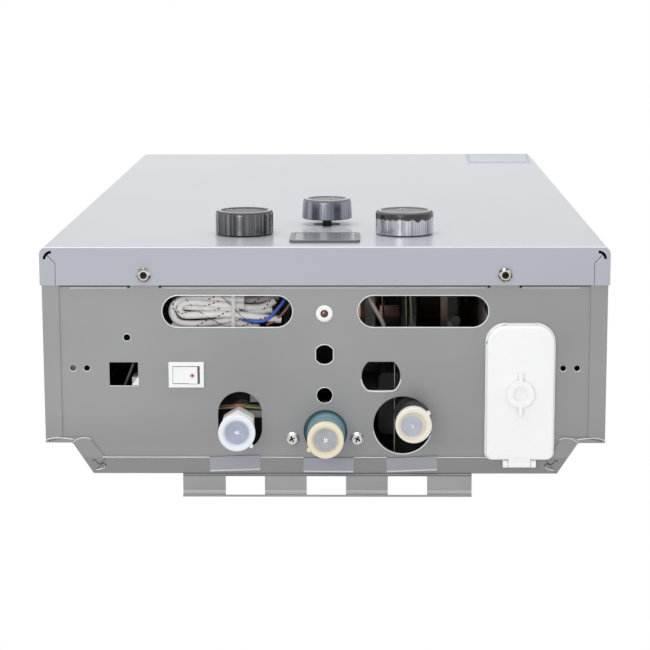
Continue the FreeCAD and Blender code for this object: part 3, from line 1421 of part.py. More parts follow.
def make_exchanger():
    """Soldered copper block: a sleeve, fins on two tubes, and a header box on each side."""
    block = Solid("heat_exchanger")
    chamber_ring(block, "chamber_top", "exchanger_height", "chamber_sheet")
    level = "(chamber_top + exchanger_height / 2)"
    reach = "(chamber_half + header_reach)"
    tubes = [circle(f"{CHAMBER_MIDDLE} {sign} tube_pitch / 2", level, "tube_radius")
             for sign in ("-", "+")]
    block.pad("YZ_Plane", "-chamber_half", "2 * chamber_half", *tubes)
    first = "(-fin_pitch * (fin_count - 1) / 2)"
    fin = block.pad("YZ_Plane", f"{first} - fin_sheet / 2", "fin_sheet", rectangle(
        CHAMBER_MIDDLE, level, "chamber_far - chamber_near - chamber_sheet",
        "exchanger_height - 2 * fin_inset"))
    block.row(fin, "X_Axis", "fin_pitch * (fin_count - 1)", "fin_count")
    for start in (f"-{reach}", "chamber_half"):
        block.pad("YZ_Plane", start, "header_reach",
                  rectangle(CHAMBER_MIDDLE, level, "2 * header_half + tube_pitch",
                            "header_height"))
    block.at()


def make_straps():
    """Two hat-section straps between the chamber and the back of the casing."""
    straps = Solid("chamber_straps")
    sheet = "strap_sheet"
    outline = [("strap_half", "chamber_far"), ("strap_half", f"{BACK_INSIDE} - {sheet}"),
               ("strap_half + strap_height", f"{BACK_INSIDE} - {sheet}"),
               ("strap_half + strap_height", BACK_INSIDE), (f"strap_half - {sheet}", BACK_INSIDE),
               (f"strap_half - {sheet}", f"chamber_far + {sheet}")]
    outline += [(f"-({across})", depth) for across, depth in reversed(outline)]
    for height in ("lower_strap", "upper_strap"):
        straps.pad("XY_Plane", height, "strap_height", polygon(outline))
    straps.at()


def valve_block(label, across, depth, knob_across):
    """Return a valve body with a bored boss towards its knob."""
    valve = Solid(label)
    valve.pad("XY_Plane", "valve_base", "valve_top - valve_base",
              rounded(across, depth, "2 * valve_half", "2 * valve_near", "valve_corner"))
    front = f"-({depth} - valve_near)"
    valve.pad("XZ_Plane", front, "valve_boss_reach",
              circle(knob_across, "knob_low_height", "valve_boss_radius"))
    valve.pocket("XZ_Plane", f"{front} + valve_boss_reach - spindle_seat", "spindle_seat",
                 circle(knob_across, "knob_low_height", "spindle_radius + spindle_play"))
    return valve


def make_valves():
    """Gas valve, water valve with its diaphragm and push rod, and the parts fixed to them."""
    gas = valve_block("gas_valve", "gas_across", "gas_depth", "knob_left_across")
    gas.at()
    middle = "((valve_base + valve_top) / 2)"
    water = valve_block("water_valve", "cold_across", "cold_depth", "knob_right_across")
    face = "(cold_across - valve_half)"
    water.pad("YZ_Plane", "diaphragm_start", "diaphragm_flange",
              circle("cold_depth", middle, "diaphragm_radius"))
    water.pad("YZ_Plane", "diaphragm_start + diaphragm_flange / 2",
              f"{face} - diaphragm_start - diaphragm_flange / 2 + valve_corner",
              circle("cold_depth", middle, "diaphragm_hub"))
    start = "(gas_across + valve_half)"
    water.pad("YZ_Plane", start, f"diaphragm_start - {start}",
              circle("link_depth", middle, "link_radius"))
    water.at()
    micro = Solid("micro_switch")
    micro.pad("XY_Plane", f"{middle} + link_radius", "micro_height",
              rectangle("-micro_width / 2", "link_depth", "micro_width", "micro_depth"))
    micro.at()
    solenoid = Solid("solenoid_valve")
    solenoid.pad("YZ_Plane", "gas_across - valve_half - solenoid_length", "solenoid_length",
                 circle("gas_depth", middle, "solenoid_radius"))
    solenoid.at()
    section = Solid("section_valve")
    far = "(manifold_depth + manifold_side / 2)"
    section.pad("XY_Plane", "knob_high_height - section_half", "2 * section_half",
                rounded("0", f"({far} + high_boss_depth + valve_corner) / 2",
                        "2 * section_half", f"{far} - high_boss_depth - valve_corner",
                        "valve_corner"))
    section.pad("XY_Plane", "knob_high_height",
                "manifold_height - knob_high_height", circle("0", "manifold_depth", "riser_radius"))
    section.pad("XZ_Plane", "-high_boss_depth - 2 * valve_corner", "2 * valve_corner",
                circle("0", "knob_high_height", "valve_boss_radius"))
    section.pocket("XZ_Plane", "-high_boss_depth - spindle_seat", "spindle_seat",
                   circle("0", "knob_high_height", "spindle_radius + spindle_play"))
    section.at()
    manifold = Solid("gas_manifold")
    manifold.pad("XY_Plane", "manifold_height", "manifold_side",
                 rectangle("0", "manifold_depth", "2 * manifold_half", "manifold_side"))
    manifold.pad("XY_Plane", "valve_top", "manifold_height + manifold_side / 2 - valve_top",
                 circle("gas_across", "manifold_depth", "riser_radius"))
    first = "(-bar_pitch * (bar_count - 1) / 2)"
    nozzle = manifold.pad("XY_Plane", "manifold_height + manifold_side / 2",
                          "manifold_side / 2 + injector_height",
                          hexagon(first, "manifold_depth", "injector_flats"))
    manifold.row(nozzle, "X_Axis", "bar_pitch * (bar_count - 1)", "bar_count")
    manifold.at()
    bracket = Solid("valve_bracket")
    back = f"-({BACK_INSIDE})"
    bracket.pad("XZ_Plane", back, "bracket_sheet",
                rectangle("(gas_across + cold_across) / 2", middle,
                          "cold_across - gas_across + valve_half", "valve_half"))
    for across, depth in (("gas_across", "gas_depth"), ("cold_across", "cold_depth")):
        bracket.pad("XZ_Plane", back, f"{BACK_INSIDE} - {depth} - valve_near",
                    rectangle(across, middle, "valve_half", "valve_half"))
    bracket.at()


def make_pipes():
    """Cold pipe, coil round the chamber, and hot pipe from the exchanger to the outlet."""
    hot_top = f"{PANEL_INSIDE} + hot_flange_height + hot_stub"
    level = "chamber_top + exchanger_height / 2"
    header = "-chamber_half - header_reach"
    tube("hot_pipe", [
        ("hot_across", "hot_depth", hot_top), ("hot_across", "hot_depth", "pipe_level"),
        ("-pipe_side", "hot_depth", "pipe_level"), ("-pipe_side", "hot_depth", level),
        ("-pipe_side", CHAMBER_MIDDLE, level), (header, CHAMBER_MIDDLE, level),
    ], "pipe_radius", "cold_bend")
    reach = "(chamber_half + coil_gap + coil_radius)"
    near = "(chamber_near - coil_gap - coil_radius)"
    far = "(chamber_far + coil_gap + coil_radius)"
    joint = f"({reach} + coil_bend + coil_gap)"
    tube("cold_pipe", [
        ("cold_across", "cold_depth", "valve_top"), ("cold_across", "cold_depth", "pipe_level"),
        ("pipe_side", "cold_depth", "pipe_level"), ("pipe_side", "cold_depth", "coil_start"),
        ("pipe_side", CHAMBER_MIDDLE, "coil_start"), (joint, CHAMBER_MIDDLE, "coil_start"),
    ], "pipe_radius", "cold_bend")
    route = [(joint, CHAMBER_MIDDLE, "coil_start"), (reach, CHAMBER_MIDDLE, "coil_start")]
    corners = [(reach, near), (f"-{reach}", near), (f"-{reach}", far), (reach, far)]
    for step in range(4 * int(number("coil_turns"))):
        across, depth = corners[step % 4]
        route.append((across, depth, f"coil_start + coil_pitch * {step + 1} / 4"))
    final = "(coil_start + coil_pitch * (coil_turns + 0.25))"
    route.append((reach, CHAMBER_MIDDLE, final))
    route.append((reach, CHAMBER_MIDDLE, f"{level} - header_height / 2"))
    tube("chamber_coil", route, "coil_radius", "coil_bend")


def make_wiring():
    """Ignition controller, the tied hank of wires and the loose leads behind the air slots."""
    box = Solid("ignition_controller")
    side = f"({CASE_HALF} - case_sheet)"
    box.pad("XY_Plane", "control_base", "control_height",
            rectangle(f"-{side} + control_width / 2", "control_near + control_depth / 2",
                      "control_width", "control_depth"))
    box.dress("Fillet", "control_corner", lambda edge: runs_along(edge, "z")
              and edge.Vertexes[0].Point.x > number(f"-{side} + control_width / 2"))
    box.at()
    low = f"({PANEL_INSIDE} + bundle_lift)"
    middle = f"({low} + bundle_height / 2)"
    bundle = Solid("wire_bundle")
    bundle.pad("YZ_Plane", "bundle_left", "bundle_right - bundle_left",
               rounded("slot_depth", middle, "2 * bundle_half", "bundle_height", "bundle_corner"))
    bundle.dress("Chamfer", "bundle_chamfer", lambda edge:
                 ends_at(edge, "x", number("bundle_left"))
                 or ends_at(edge, "x", number("bundle_right")))
    bundle.at()
    tie = Solid("cable_tie")
    grown = "2 * (tie_play + tie_sheet)"
    tie.pad("YZ_Plane", "tie_across", "tie_width",
            rounded("slot_depth", middle, f"2 * bundle_half + {grown}",
                    f"bundle_height + {grown}", "bundle_corner + tie_play + tie_sheet"))
    tie.pocket("YZ_Plane", "tie_across", "tie_width",
               rounded("slot_depth", middle, "2 * (bundle_half + tie_play)",
                       "bundle_height + 2 * tie_play", "bundle_corner + tie_play"))
    tie.at()
    lamp_back = f"({PANEL_FACE} + lamp_length)"
    for label, depth, radius in (
            ("blue_wire", "lamp_depth + lead_pitch / 2", "blue_wire_radius"),
            ("brown_wire", "lamp_depth - lead_pitch / 2", "brown_wire_radius")):
        tube(label, [
            ("bundle_right", depth, middle), ("bundle_right + lead_run", depth, middle),
            ("bundle_right + lead_run + lead_slant", depth, f"{lamp_back} + lead_loop"),
            ("0", depth, f"{lamp_back} + lead_loop"), ("0", depth, lamp_back)],
             radius, "wire_bend")
    tip = "knob_high_height - section_half"
    tube("hanging_wire", [
        ("display_half / 2", "board_depth", "wire_exit"),
        ("display_half / 2", "wire_out", "wire_exit"),
        ("wire_near_across", "wire_near_depth", "wire_low"),
        ("wire_far_across", "wire_far_depth", "wire_low"),
        ("wire_far_across", "wire_rise_depth", "wire_rise"),
        ("wire_end_across", "high_boss_depth + 2 * valve_corner", f"{tip} - wire_end_run"),
        ("wire_end_across", "high_boss_depth + 2 * valve_corner", tip),
    ], "white_wire_radius", "wire_bend")
    plug = Solid("wire_connector")
    plug.pad("XY_Plane", PANEL_INSIDE, "connector_height",
             rectangle("connector_across", "connector_depth", "2 * connector_half",
                       "2 * connector_half"))
    plug.at()
    block = Solid("terminal_block")
    block.pad("XY_Plane", "valve_base - terminal_block_height", "terminal_block_height",
              rectangle("terminal_block_across", "terminal_block_depth",
                        "2 * terminal_block_half", "2 * terminal_block_tall"))
    block.at()


make_casing()
make_cover()
make_bottom_panel()
make_top_panel()
make_brackets()
make_screws()
make_knobs()
make_display()
make_fittings()
make_caps()
make_switch()
make_lamp()
make_battery_box()
make_battery_lid()
make_flue()
make_burner()
make_exchanger()
make_straps()
make_valves()
make_pipes()
make_wiring()
doc.recompute()
for thing in doc.Objects:
    if {"Invalid", "Error"} & set(thing.State):
        raise RuntimeError(f"{thing.Label} did not build: {thing.State}")
for before, after in cuts:
    if after.Shape.Volume > before.Shape.Volume - TINY:
        raise RuntimeError(f"{after.Label} cuts nothing in {before.Label}")
os.makedirs("parts", exist_ok=True)
for piece in pieces:
    if piece.Shape.isNull() or not piece.Shape.isValid():
        raise RuntimeError(f"{piece.Label} has no valid shape")
    piece.Shape.exportStep(f"parts/{piece.Label}.step")
    print(piece.Label, len(piece.Shape.Solids), round(piece.Shape.Volume))
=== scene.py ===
"""Looks of the wall-hung tankless gas water heater, seen from its connection end.

Places are given as the heater's maker would: across from the middle, depth behind the front of the
cover, and height above the lower end of the cover, all in millimetres.
"""

import json
import logging
import math
from collections.abc import Callable
from dataclasses import dataclass, field
from enum import Enum

import bmesh
import bpy
from mathutils import Matrix, Vector

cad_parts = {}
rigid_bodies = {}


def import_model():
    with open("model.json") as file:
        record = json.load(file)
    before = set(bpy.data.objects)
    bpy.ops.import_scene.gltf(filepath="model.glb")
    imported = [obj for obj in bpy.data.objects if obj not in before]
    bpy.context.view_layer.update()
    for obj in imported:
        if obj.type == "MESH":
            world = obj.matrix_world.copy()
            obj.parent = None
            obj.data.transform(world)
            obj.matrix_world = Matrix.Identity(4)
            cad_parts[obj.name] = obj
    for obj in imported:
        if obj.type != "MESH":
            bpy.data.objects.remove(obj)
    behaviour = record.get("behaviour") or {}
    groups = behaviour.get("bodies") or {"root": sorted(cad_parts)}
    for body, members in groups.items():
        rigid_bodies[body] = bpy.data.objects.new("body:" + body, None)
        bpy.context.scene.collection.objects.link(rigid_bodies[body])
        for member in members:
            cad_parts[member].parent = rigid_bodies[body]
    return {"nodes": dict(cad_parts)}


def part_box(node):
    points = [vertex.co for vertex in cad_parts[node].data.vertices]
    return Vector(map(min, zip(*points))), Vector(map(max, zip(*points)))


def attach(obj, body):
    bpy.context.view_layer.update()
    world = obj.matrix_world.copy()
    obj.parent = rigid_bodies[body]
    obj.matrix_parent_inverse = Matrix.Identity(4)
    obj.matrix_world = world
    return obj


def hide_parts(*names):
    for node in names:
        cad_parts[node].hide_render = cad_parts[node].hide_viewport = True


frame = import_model()

MM = 0.001
# Height in millimetres, below the whole heater, from which a surface is looked for
BELOW = -60
LOG = logging.getLogger("water_heater")

# Stands before each finish's name, so that it isn't taken for a slot of the same name
PREFIX = "look_"

Place = tuple[float, float, float]
Spot = tuple[float, float]
Colour = tuple[float, float, float]


class Body(Enum):
    """The bodies that carry the pieces."""

    HEATER = "heater"
    KNOB_LEFT = "knob_left"
    KNOB_RIGHT = "knob_right"
    KNOB_CENTRE = "knob_centre"
    ROCKER = "rocker"
    LID = "lid"
    GAS_CAP = "gas_cap"
    HOT_CAP = "hot_cap"
    COLD_CAP = "cold_cap"


class Slot(Enum):
    """The record's material slots that the pieces take."""

    CASING = "casing_paint"
    COVER = "cover_paint"
    NICKEL = "nickel"
    CHROME = "knob_chrome"
    WHITE = "white_plastic"
    CREAM = "cream_plastic"
    TEAL = "teal_rubber"
    WHITE_WIRE = "wire_white"
    BLUE_WIRE = "wire_blue"
    BROWN_WIRE = "wire_brown"


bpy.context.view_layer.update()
COVER_ZERO = Vector((0, *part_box("front_cover")[0].yz))


def at(across: float, depth: float, height: float) -> Vector:
    """Return the place in the row frame of a point given as the maker does.

    Args:
        across: Millimetres to the right of the middle.
        depth: Millimetres behind the front of the cover.
        height: Millimetres above the lower end of the cover.

    Returns:
        The point in metres.
    """
    return Vector((across * MM, COVER_ZERO.y + depth * MM, COVER_ZERO.z + height * MM))


def middle(node: str) -> Vector:
    """Return the middle of a solid's box, as the maker gives places."""
    low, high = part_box(node)
    return ((low + high) / 2 - COVER_ZERO) / MM


# Axes of the knobs, across and in height
LEFT_KNOB = tuple(middle("knob_left").xz)
RIGHT_KNOB = tuple(middle("knob_right").xz)
CENTRE_KNOB = tuple(middle("knob_centre").xz)

# Axes of the pipe ends and the lamp, across and in depth
GAS_PIPE = tuple(middle("gas_cap").xy)
HOT_PIPE = tuple(middle("hot_cap").xy)
COLD_PIPE = tuple(middle("cold_cap").xy)
LAMP = tuple(middle("led_lamp").xy)


class Wiring:
    """A tree of nodes, to which one method adds each node."""

    def __init__(self, tree: bpy.types.NodeTree) -> None:
        """Keep the tree."""
        self.tree = tree

    def fill(self, node: bpy.types.Node, sockets: dict[str | int, object]) -> None:
        """Give some inputs of a node their values or links.

        Args:
            node: The node.
            sockets: A value, or the socket or shade that gives it, by the input's name or number.
        """
        for label, value in sockets.items():
            entry = node.inputs[label] if isinstance(label, int) else next(
                each for each in node.inputs if each.name == label and each.enabled)
            source = value.socket if isinstance(value, Shade) else value
            if isinstance(source, bpy.types.NodeSocket):
                self.tree.links.new(source, entry)
            else:
                entry.default_value = source

    def add(self, kind: str, settings: dict[str, object] | None = None,
            sockets: dict[str | int, object] | None = None) -> bpy.types.Node:
        """Add a node, set it up and then fill its inputs.

        Args:
            kind: The node's type.
            settings: What the node is set to, by name.
            sockets: A value, or the socket or shade that gives it, by the input's name or number.

        Returns:
            The node.
        """
        node = self.tree.nodes.new(kind)
        for key, value in (settings or {}).items():
            setattr(node, key, value)
        self.fill(node, sockets or {})
        return node


class Shade:
    """A value in a material's tree that takes part in plain sums."""

    def __init__(self, wiring: Wiring, socket: bpy.types.NodeSocket) -> None:
        """Keep where the value comes from.

        Args:
            wiring: The tree that it is in.
            socket: The socket that gives it.
        """
        self.wiring = wiring
        self.socket = socket

    def combine(self, operation: str, *others: "Shade | float") -> "Shade":
        """Return the result of one math operation.

        Args:
            operation: The name of the operation.
            others: The values after this one.

        Returns:
            The new value.
        """
        values = dict(enumerate((self, *others)))
        node = self.wiring.add("ShaderNodeMath", {"operation": operation}, values)
        return Shade(self.wiring, node.outputs[0])

    def __add__(self, other: "Shade | float") -> "Shade":
        """Return the sum."""
        return self.combine("ADD", other)

    def __radd__(self, other: float) -> "Shade":
        """Return the sum of a number and this value."""
        return self + other

    def __sub__(self, other: "Shade | float") -> "Shade":
        """Return the difference."""
        return self.combine("SUBTRACT", other)

    def __rsub__(self, other: float) -> "Shade":
        """Return a number less this value."""
        return self.combine("MULTIPLY_ADD", -1.0, other)

    def __mul__(self, other: "Shade | float") -> "Shade":
        """Return the product."""
        return self.combine("MULTIPLY", other)

    def __rmul__(self, other: float) -> "Shade":
        """Return the product of a number and this value."""
        return self * other

    def __truediv__(self, other: "Shade | float") -> "Shade":
        """Return the quotient."""
        return self.combine("DIVIDE", other)

    def __rtruediv__(self, other: float) -> "Shade":
        """Return a number divided by this value."""
        return self.combine("POWER", -1.0) * other

    def __lt__(self, other: "Shade | float") -> "Shade":
        """Return one where this value is the smaller, and zero elsewhere."""
        return self.combine("LESS_THAN", other)

    def __gt__(self, other: "Shade | float") -> "Shade":
        """Return one where this value is the larger, and zero elsewhere."""
        return self.combine("GREATER_THAN", other)

    def __abs__(self) -> "Shade":
        """Return the size without the sign."""
        return self.combine("ABSOLUTE")

    def reach(self, other: "Shade") -> "Shade":
        """Return the length of the slanting side over this value and the other one."""
        return (self * self + other * other).combine("SQRT")

    def inside(self, edge: float, soft: float) -> "Shade":
        """Return one below an edge and zero above it, with a soft step between.

        Args:
            edge: Where the step is.
            soft: How wide the step is.

        Returns:
            The step.
        """
        return (0.5 - (self - edge) / soft).clear()

    def spread(self, level: float, gain: float) -> "Shade":
        """Return how far the value is above a level, times a gain."""
        return (self - level) * gain

    def part(self) -> "Shade":
        """Return the part after the decimal point."""
        return self.combine("FRACT")

    def clear(self) -> "Shade":
        """Return the value kept between zero and one."""
        return self.combine("MAXIMUM", 0.0).combine("MINIMUM", 1.0)


class Painter(Wiring):
    """Builds one material's tree, with a Principled shader at its end."""

    def __init__(self, name: str) -> None:
        """Start an empty material.

        Args:
            name: The material's name.
        """
        self.material = bpy.data.materials.new(PREFIX + name)
        self.material.use_nodes = True
        super().__init__(self.material.node_tree)
        self.tree.nodes.clear()
        self.shader = self.add("ShaderNodeBsdfPrincipled")
        self.add("ShaderNodeOutputMaterial", sockets={"Surface": self.shader.outputs["BSDF"]})
        self.place = self.add("ShaderNodeTexCoord").outputs["Object"]

    def attribute(self, name: str) -> Shade:
        """Return a number stored on the mesh."""
        node = self.add("ShaderNodeAttribute", {"attribute_name": name})
        return Shade(self, node.outputs["Fac"])

    def spot(self) -> tuple[Shade, Shade, Shade]:
        """Return the place on the piece as the maker gives it.

        Returns:
            The values across, in depth and in height.
        """
        node = self.add("ShaderNodeSeparateXYZ", sockets={0: self.place})
        across, depth, height = (Shade(self, socket) for socket in node.outputs)
        return across / MM, (depth - COVER_ZERO.y) / MM, (height - COVER_ZERO.z) / MM

    def streaks(self, value: Shade, size: float, detail: float = 3.0) -> Shade:
        """Return noise that changes along one value only.

        Args:
            value: The value that it runs along.
            size: Width of one streak in the value's units.
            detail: Number of finer layers.

        Returns:
            The noise, from about zero to one.
        """
        node = self.add("ShaderNodeTexNoise", {"noise_dimensions": "1D"},
                        {"W": value, "Scale": 1 / size, "Detail": detail})
        return Shade(self, node.outputs["Fac"])

    def noise(self, size: float, stretch: Place = (1, 1, 1), detail: float = 3.0) -> Shade:
        """Return cloudy noise in the object's own space.

        Args:
            size: Width of one cloud in millimetres.
            stretch: How much longer the clouds are along each axis.
            detail: Number of finer layers.

        Returns:
            The noise, from about zero to one.
        """
        scale = [1 / (size * MM * factor) for factor in stretch]
        mapping = self.add("ShaderNodeMapping", sockets={"Vector": self.place, "Scale": scale})
        node = self.add("ShaderNodeTexNoise", sockets={
            "Vector": mapping.outputs["Vector"], "Scale": 1.0, "Detail": detail})
        return Shade(self, node.outputs["Fac"])

    def mix(self, factor: Shade, first: Colour | bpy.types.NodeSocket,
            second: Colour | bpy.types.NodeSocket) -> bpy.types.NodeSocket:
        """Return two colours mixed by a factor.

        Args:
            factor: Zero for the first and one for the second.
            first: A colour, or a socket that gives one.
            second: The other colour, or a socket that gives it.

        Returns:
            The socket of the mixed colour.
        """
        colours = {label: (*colour, 1) if isinstance(colour, tuple) else colour
                   for label, colour in (("A", first), ("B", second))}
        node = self.add("ShaderNodeMix", {"data_type": "RGBA"}, {"Factor": factor, **colours})
        return node.outputs["Result"]

    def feed(self, sockets: dict[str, Shade | bpy.types.NodeSocket | float]) -> None:
        """Set or link inputs of the shader."""
        self.fill(self.shader, sockets)

    def scatter(self, weight: float) -> None:
        """Let some light into the surface, to about two millimetres."""
        self.feed({"Subsurface Weight": weight, "Subsurface Scale": 2 * MM})

    def bump(self, height: Shade, depth: float) -> None:
        """Raise the surface by a height, at most to a depth in millimetres."""
        node = self.add("ShaderNodeBump", sockets={"Height": height, "Distance": depth * MM})
        self.feed({"Normal": node.outputs["Normal"]})


@dataclass(frozen=True)
class Coat:
    """What every finish has: a name, and the way to its material."""

    name: str

    def build(self) -> bpy.types.Material:
        """Return the material of this finish.

        Returns:
            The material.
        """
        painter = Painter(self.name)
        self.paint(painter)
        return painter.material

    def paint(self, painter: Painter) -> None:
        """Join the finish's own nodes to the shader, as each kind does in its way."""
        raise NotImplementedError


@dataclass(frozen=True)
class Finish(Coat):
    """A finish with cloudy tone, uneven gloss and a fine grain."""

    colour: Colour
    shade: Colour
    roughness: float
    metallic: float = 0.0
    coat: float = 0.0
    gloss_change: float = 0.12
    cloud: float = 60.0
    grain: float = 0.6
    relief: float = 0.02
    stretch: Place = (1, 1, 1)
    scatter: float = 0.0
    mirror: float = 0.5
    alpha: float = 1.0

    def paint(self, painter: Painter) -> None:
        """Lay on the tone, the gloss and the grain.

        Args:
            painter: The tree's builder.
        """
        cloud = painter.noise(self.cloud, self.stretch)
        grain = painter.noise(self.grain, self.stretch, 2.0)
        tone = (cloud.spread(0.35, 2.2) + grain.spread(0.5, 0.5)).clear()
        gloss = cloud * self.gloss_change + grain * self.gloss_change
        painter.feed({
            "Base Color": self.tint(painter, painter.mix(tone, self.colour, self.shade)),
            "Roughness": gloss + (self.roughness - self.gloss_change), "Metallic": self.metallic,
            "Coat Weight": self.coat, "Coat Roughness": 0.08, "Specular IOR Level": self.mirror,
            "Alpha": self.alpha})
        if self.scatter:
            painter.scatter(self.scatter)
        painter.bump(grain, self.relief)

    def tint(self, painter: Painter, base: bpy.types.NodeSocket) -> bpy.types.NodeSocket:
        """Return the colour as it is; other finishes add to it."""
        return base


@dataclass(frozen=True)
class Band:
    """A strip of painted light round one depth: a darker or paler tone, with soft borders."""

    middle: float
    half: float
    soft: float
    colour: Colour


@dataclass(frozen=True)
class BandedSheet(Finish):
    """A sheet finish with strips of painted shade and painted highlight that run across its lower end."""

    light_bands: tuple[Band, ...] = ()
    reach: float = 4.0
    strength: float = 0.85

    def tint(self, painter: Painter, base: bpy.types.NodeSocket) -> bpy.types.NodeSocket:
        """Return the colour with the strips of painted light laid over it.

        Args:
            painter: The tree's builder.
            base: The colour below the strips of painted light.

        Returns:
            The colour.
        """
        _, depth, height = painter.spot()
        # Lay each strip of painted light over the lower end.
        for band in self.light_bands:
            strip = abs(depth - band.middle).inside(band.half, band.soft)
            base = painter.mix(strip * (height < self.reach) * self.strength, base, band.colour)
        return base


@dataclass(frozen=True)
class Sleeve(Coat):
    """A woven wire sleeve with a dashed tracer that winds round it."""

    colour: Colour
    shade: Colour
    tracer: Colour
    pitch: float = 26.0
    dash: float = 2.6
    weave: float = 0.9
    width: float = 0.07

    def paint(self, painter: Painter) -> None:
        """Lay on the weave and its tracer.

        Args:
            painter: The tree's builder.
        """
        along = painter.attribute("along")
        around = painter.attribute("around")
        threads = abs((along / (self.weave * MM) + around * 6.0).part() - 0.5) * 2.0
        winding = (along / (self.pitch * MM) + around).part() < self.width
        dashes = (along / (self.dash * MM)).part() < 0.55
        # Darker in random patches and along the threads.
        mottle = (painter.noise(9.0).spread(0.3, 1.6) + threads * 0.12).clear()
        base = painter.mix(mottle, self.colour, self.shade)
        painter.feed({"Base Color": painter.mix(winding * dashes, base, self.tracer),
                      "Roughness": threads * 0.1 + 0.6})
        painter.bump(threads, 0.12)


@dataclass(frozen=True)
class CoverSkin(Coat):
    """Silver lacquer on the cover, with painted light in one tone on its face and another on its sides, and
    a painted highlight along the fold of its lower end.
    """

    face: Colour
    flange: Colour
    fold: Colour

    def paint(self, painter: Painter) -> None:
        """Lay on the lacquer with the painted light of the face and the sides, and the painted highlight
        along the fold.

        Args:
            painter: The tree's builder.
        """
        _, depth, height = painter.spot()
        cloud = painter.noise(120.0)
        grain = painter.noise(0.3, detail=2.0)
        darker = tuple(part * 0.94 for part in self.flange)
        side = painter.mix((cloud.spread(0.4, 2.0) + grain.spread(0.5, 0.5)).clear(), self.flange, darker)
        # Face and sides are one lacquer; their two tones are painted light.
        tone = painter.mix(depth.inside(0.9, 0.8), side, self.face)
        # A painted highlight along the fold of the lower end.
        line = (depth + height).inside(1.15, 0.3) * abs(depth - height).inside(0.3, 0.3)
        painter.feed({"Base Color": painter.mix(line, tone, self.fold),
                      "Roughness": cloud * 0.1 + grain * 0.05 + 0.3, "Coat Weight": 0.35})
        painter.bump(grain, 0.006)


@dataclass(frozen=True)
class CapFace(Coat):
    """A moulded cap: a pale ring round a thin middle with the mark of its gate."""

    ring: Colour
    bevel: Colour
    middle: Colour
    pale: Colour
    axis: Spot
    middle_reach: float = 7.2
    bevel_reach: float = 8.6
    gate_reach: float = 1.3
    gate: Colour = (0.92, 0.92, 0.94)

    def paint(self, painter: Painter) -> None:
        """Lay on the ring, the thin middle and the mark of the gate.

        Args:
            painter: The tree's builder.
        """
        across, depth, _ = painter.spot()
        reach = (across - self.axis[0]).reach(depth - self.axis[1])
        cloud = painter.noise(5.0)
        specks = painter.noise(0.9)
        outer = painter.mix(reach.inside(self.bevel_reach, 0.6), self.ring, self.bevel)
        patchy = (cloud.spread(0.35, 1.8) + specks.spread(0.5, 0.8)).clear()
        disc = painter.mix(patchy, self.middle, self.pale)
        tone = painter.mix(reach.inside(self.middle_reach, 0.5), outer, disc)
        mark = reach.inside(self.gate_reach, 0.6) * (specks > 0.5)
        painter.feed({"Base Color": painter.mix(mark, tone, self.gate), "Roughness": cloud * 0.2 + 0.26})
        painter.scatter(0.25)
        painter.bump(specks, 0.03)


@dataclass(frozen=True)
class ScrewHead(Coat):
    """A plated screw head, the same on both sides of the middle: painted reflections, a painted highlight
    ring, and painted shade in its middle and in its dark cross recess.
    """

    metal: Colour
    # edge is the dark tone of the painted reflections, shadow the painted shade of the middle, recess the
    # painted shade of the cross
    edge: Colour
    shadow: Colour
    across: float
    depth: float
    turn: float
    arm: float
    width: float
    well: float
    roughness: float = 0.25
    recess: Colour = (0.012, 0.011, 0.010)

    def paint(self, painter: Painter) -> None:
        """Lay on the plating with its painted reflections, highlight ring and shade, and the cross recess
        in painted shade.

        Args:
            painter: The tree's builder.
        """
        across, depth, _ = painter.spot()
        aside = abs(across) - self.across
        down = depth - self.depth
        cos, sin = math.cos(math.radians(self.turn)), math.sin(math.radians(self.turn))
        first = abs(aside * cos + down * sin)
        second = abs(down * cos - aside * sin)
        cross = ((first < self.width) * (second < self.arm)
                 + (second < self.width) * (first < self.arm)).clear()
        reach = aside.reach(down)
        # Painted reflections: noise patches from the metal colour to the darker edge colour.
        reflection_patch = painter.noise(2.4)
        tone = painter.mix(reflection_patch.spread(0.4, 4.0).clear(), self.metal, self.edge)
        # A painted highlight ring round the middle, and painted shade inside it.
        tone = painter.mix(reach.inside(self.well + 0.7, 0.2), tone, self.metal)
        tone = painter.mix(reach.inside(self.well, 0.3), tone, self.shadow)
        # The cross recess in near black: painted shade.
        painter.feed({"Base Color": painter.mix(cross, tone, self.recess), "Metallic": 0.85,
                      "Roughness": reflection_patch * 0.2 + (self.roughness - 0.1)})
        painter.bump(0 - cross, 0.5)


@dataclass(frozen=True)
class LampFace(Coat):
    """A red lens with a darker rim and a small painted highlight."""

    colour: Colour
    rim: Colour
    axis: Spot
    glint: Colour = (0.62, 0.30, 0.30)

    def paint(self, painter: Painter) -> None:
        """Lay on the lens, its rim and its painted highlight.

        Args:
            painter: The tree's builder.
        """
        across, depth, _ = painter.spot()
        reach = (across - self.axis[0]).reach(depth - self.axis[1])
        reflection_patch = (across - (self.axis[0] - 0.5)).reach(depth - (self.axis[1] - 0.7))
        cloud = painter.noise(1.5)
        tone = painter.mix((reach.inside(1.7, 0.9) * (cloud * 0.4 + 0.7)).clear(), self.rim, self.colour)
        # A small painted highlight beside the middle of the lens.
        painter.feed({"Base Color": painter.mix(reflection_patch.inside(0.5, 0.5), tone, self.glint),
                      "Roughness": cloud * 0.1 + 0.12, "Coat Weight": 0.7})


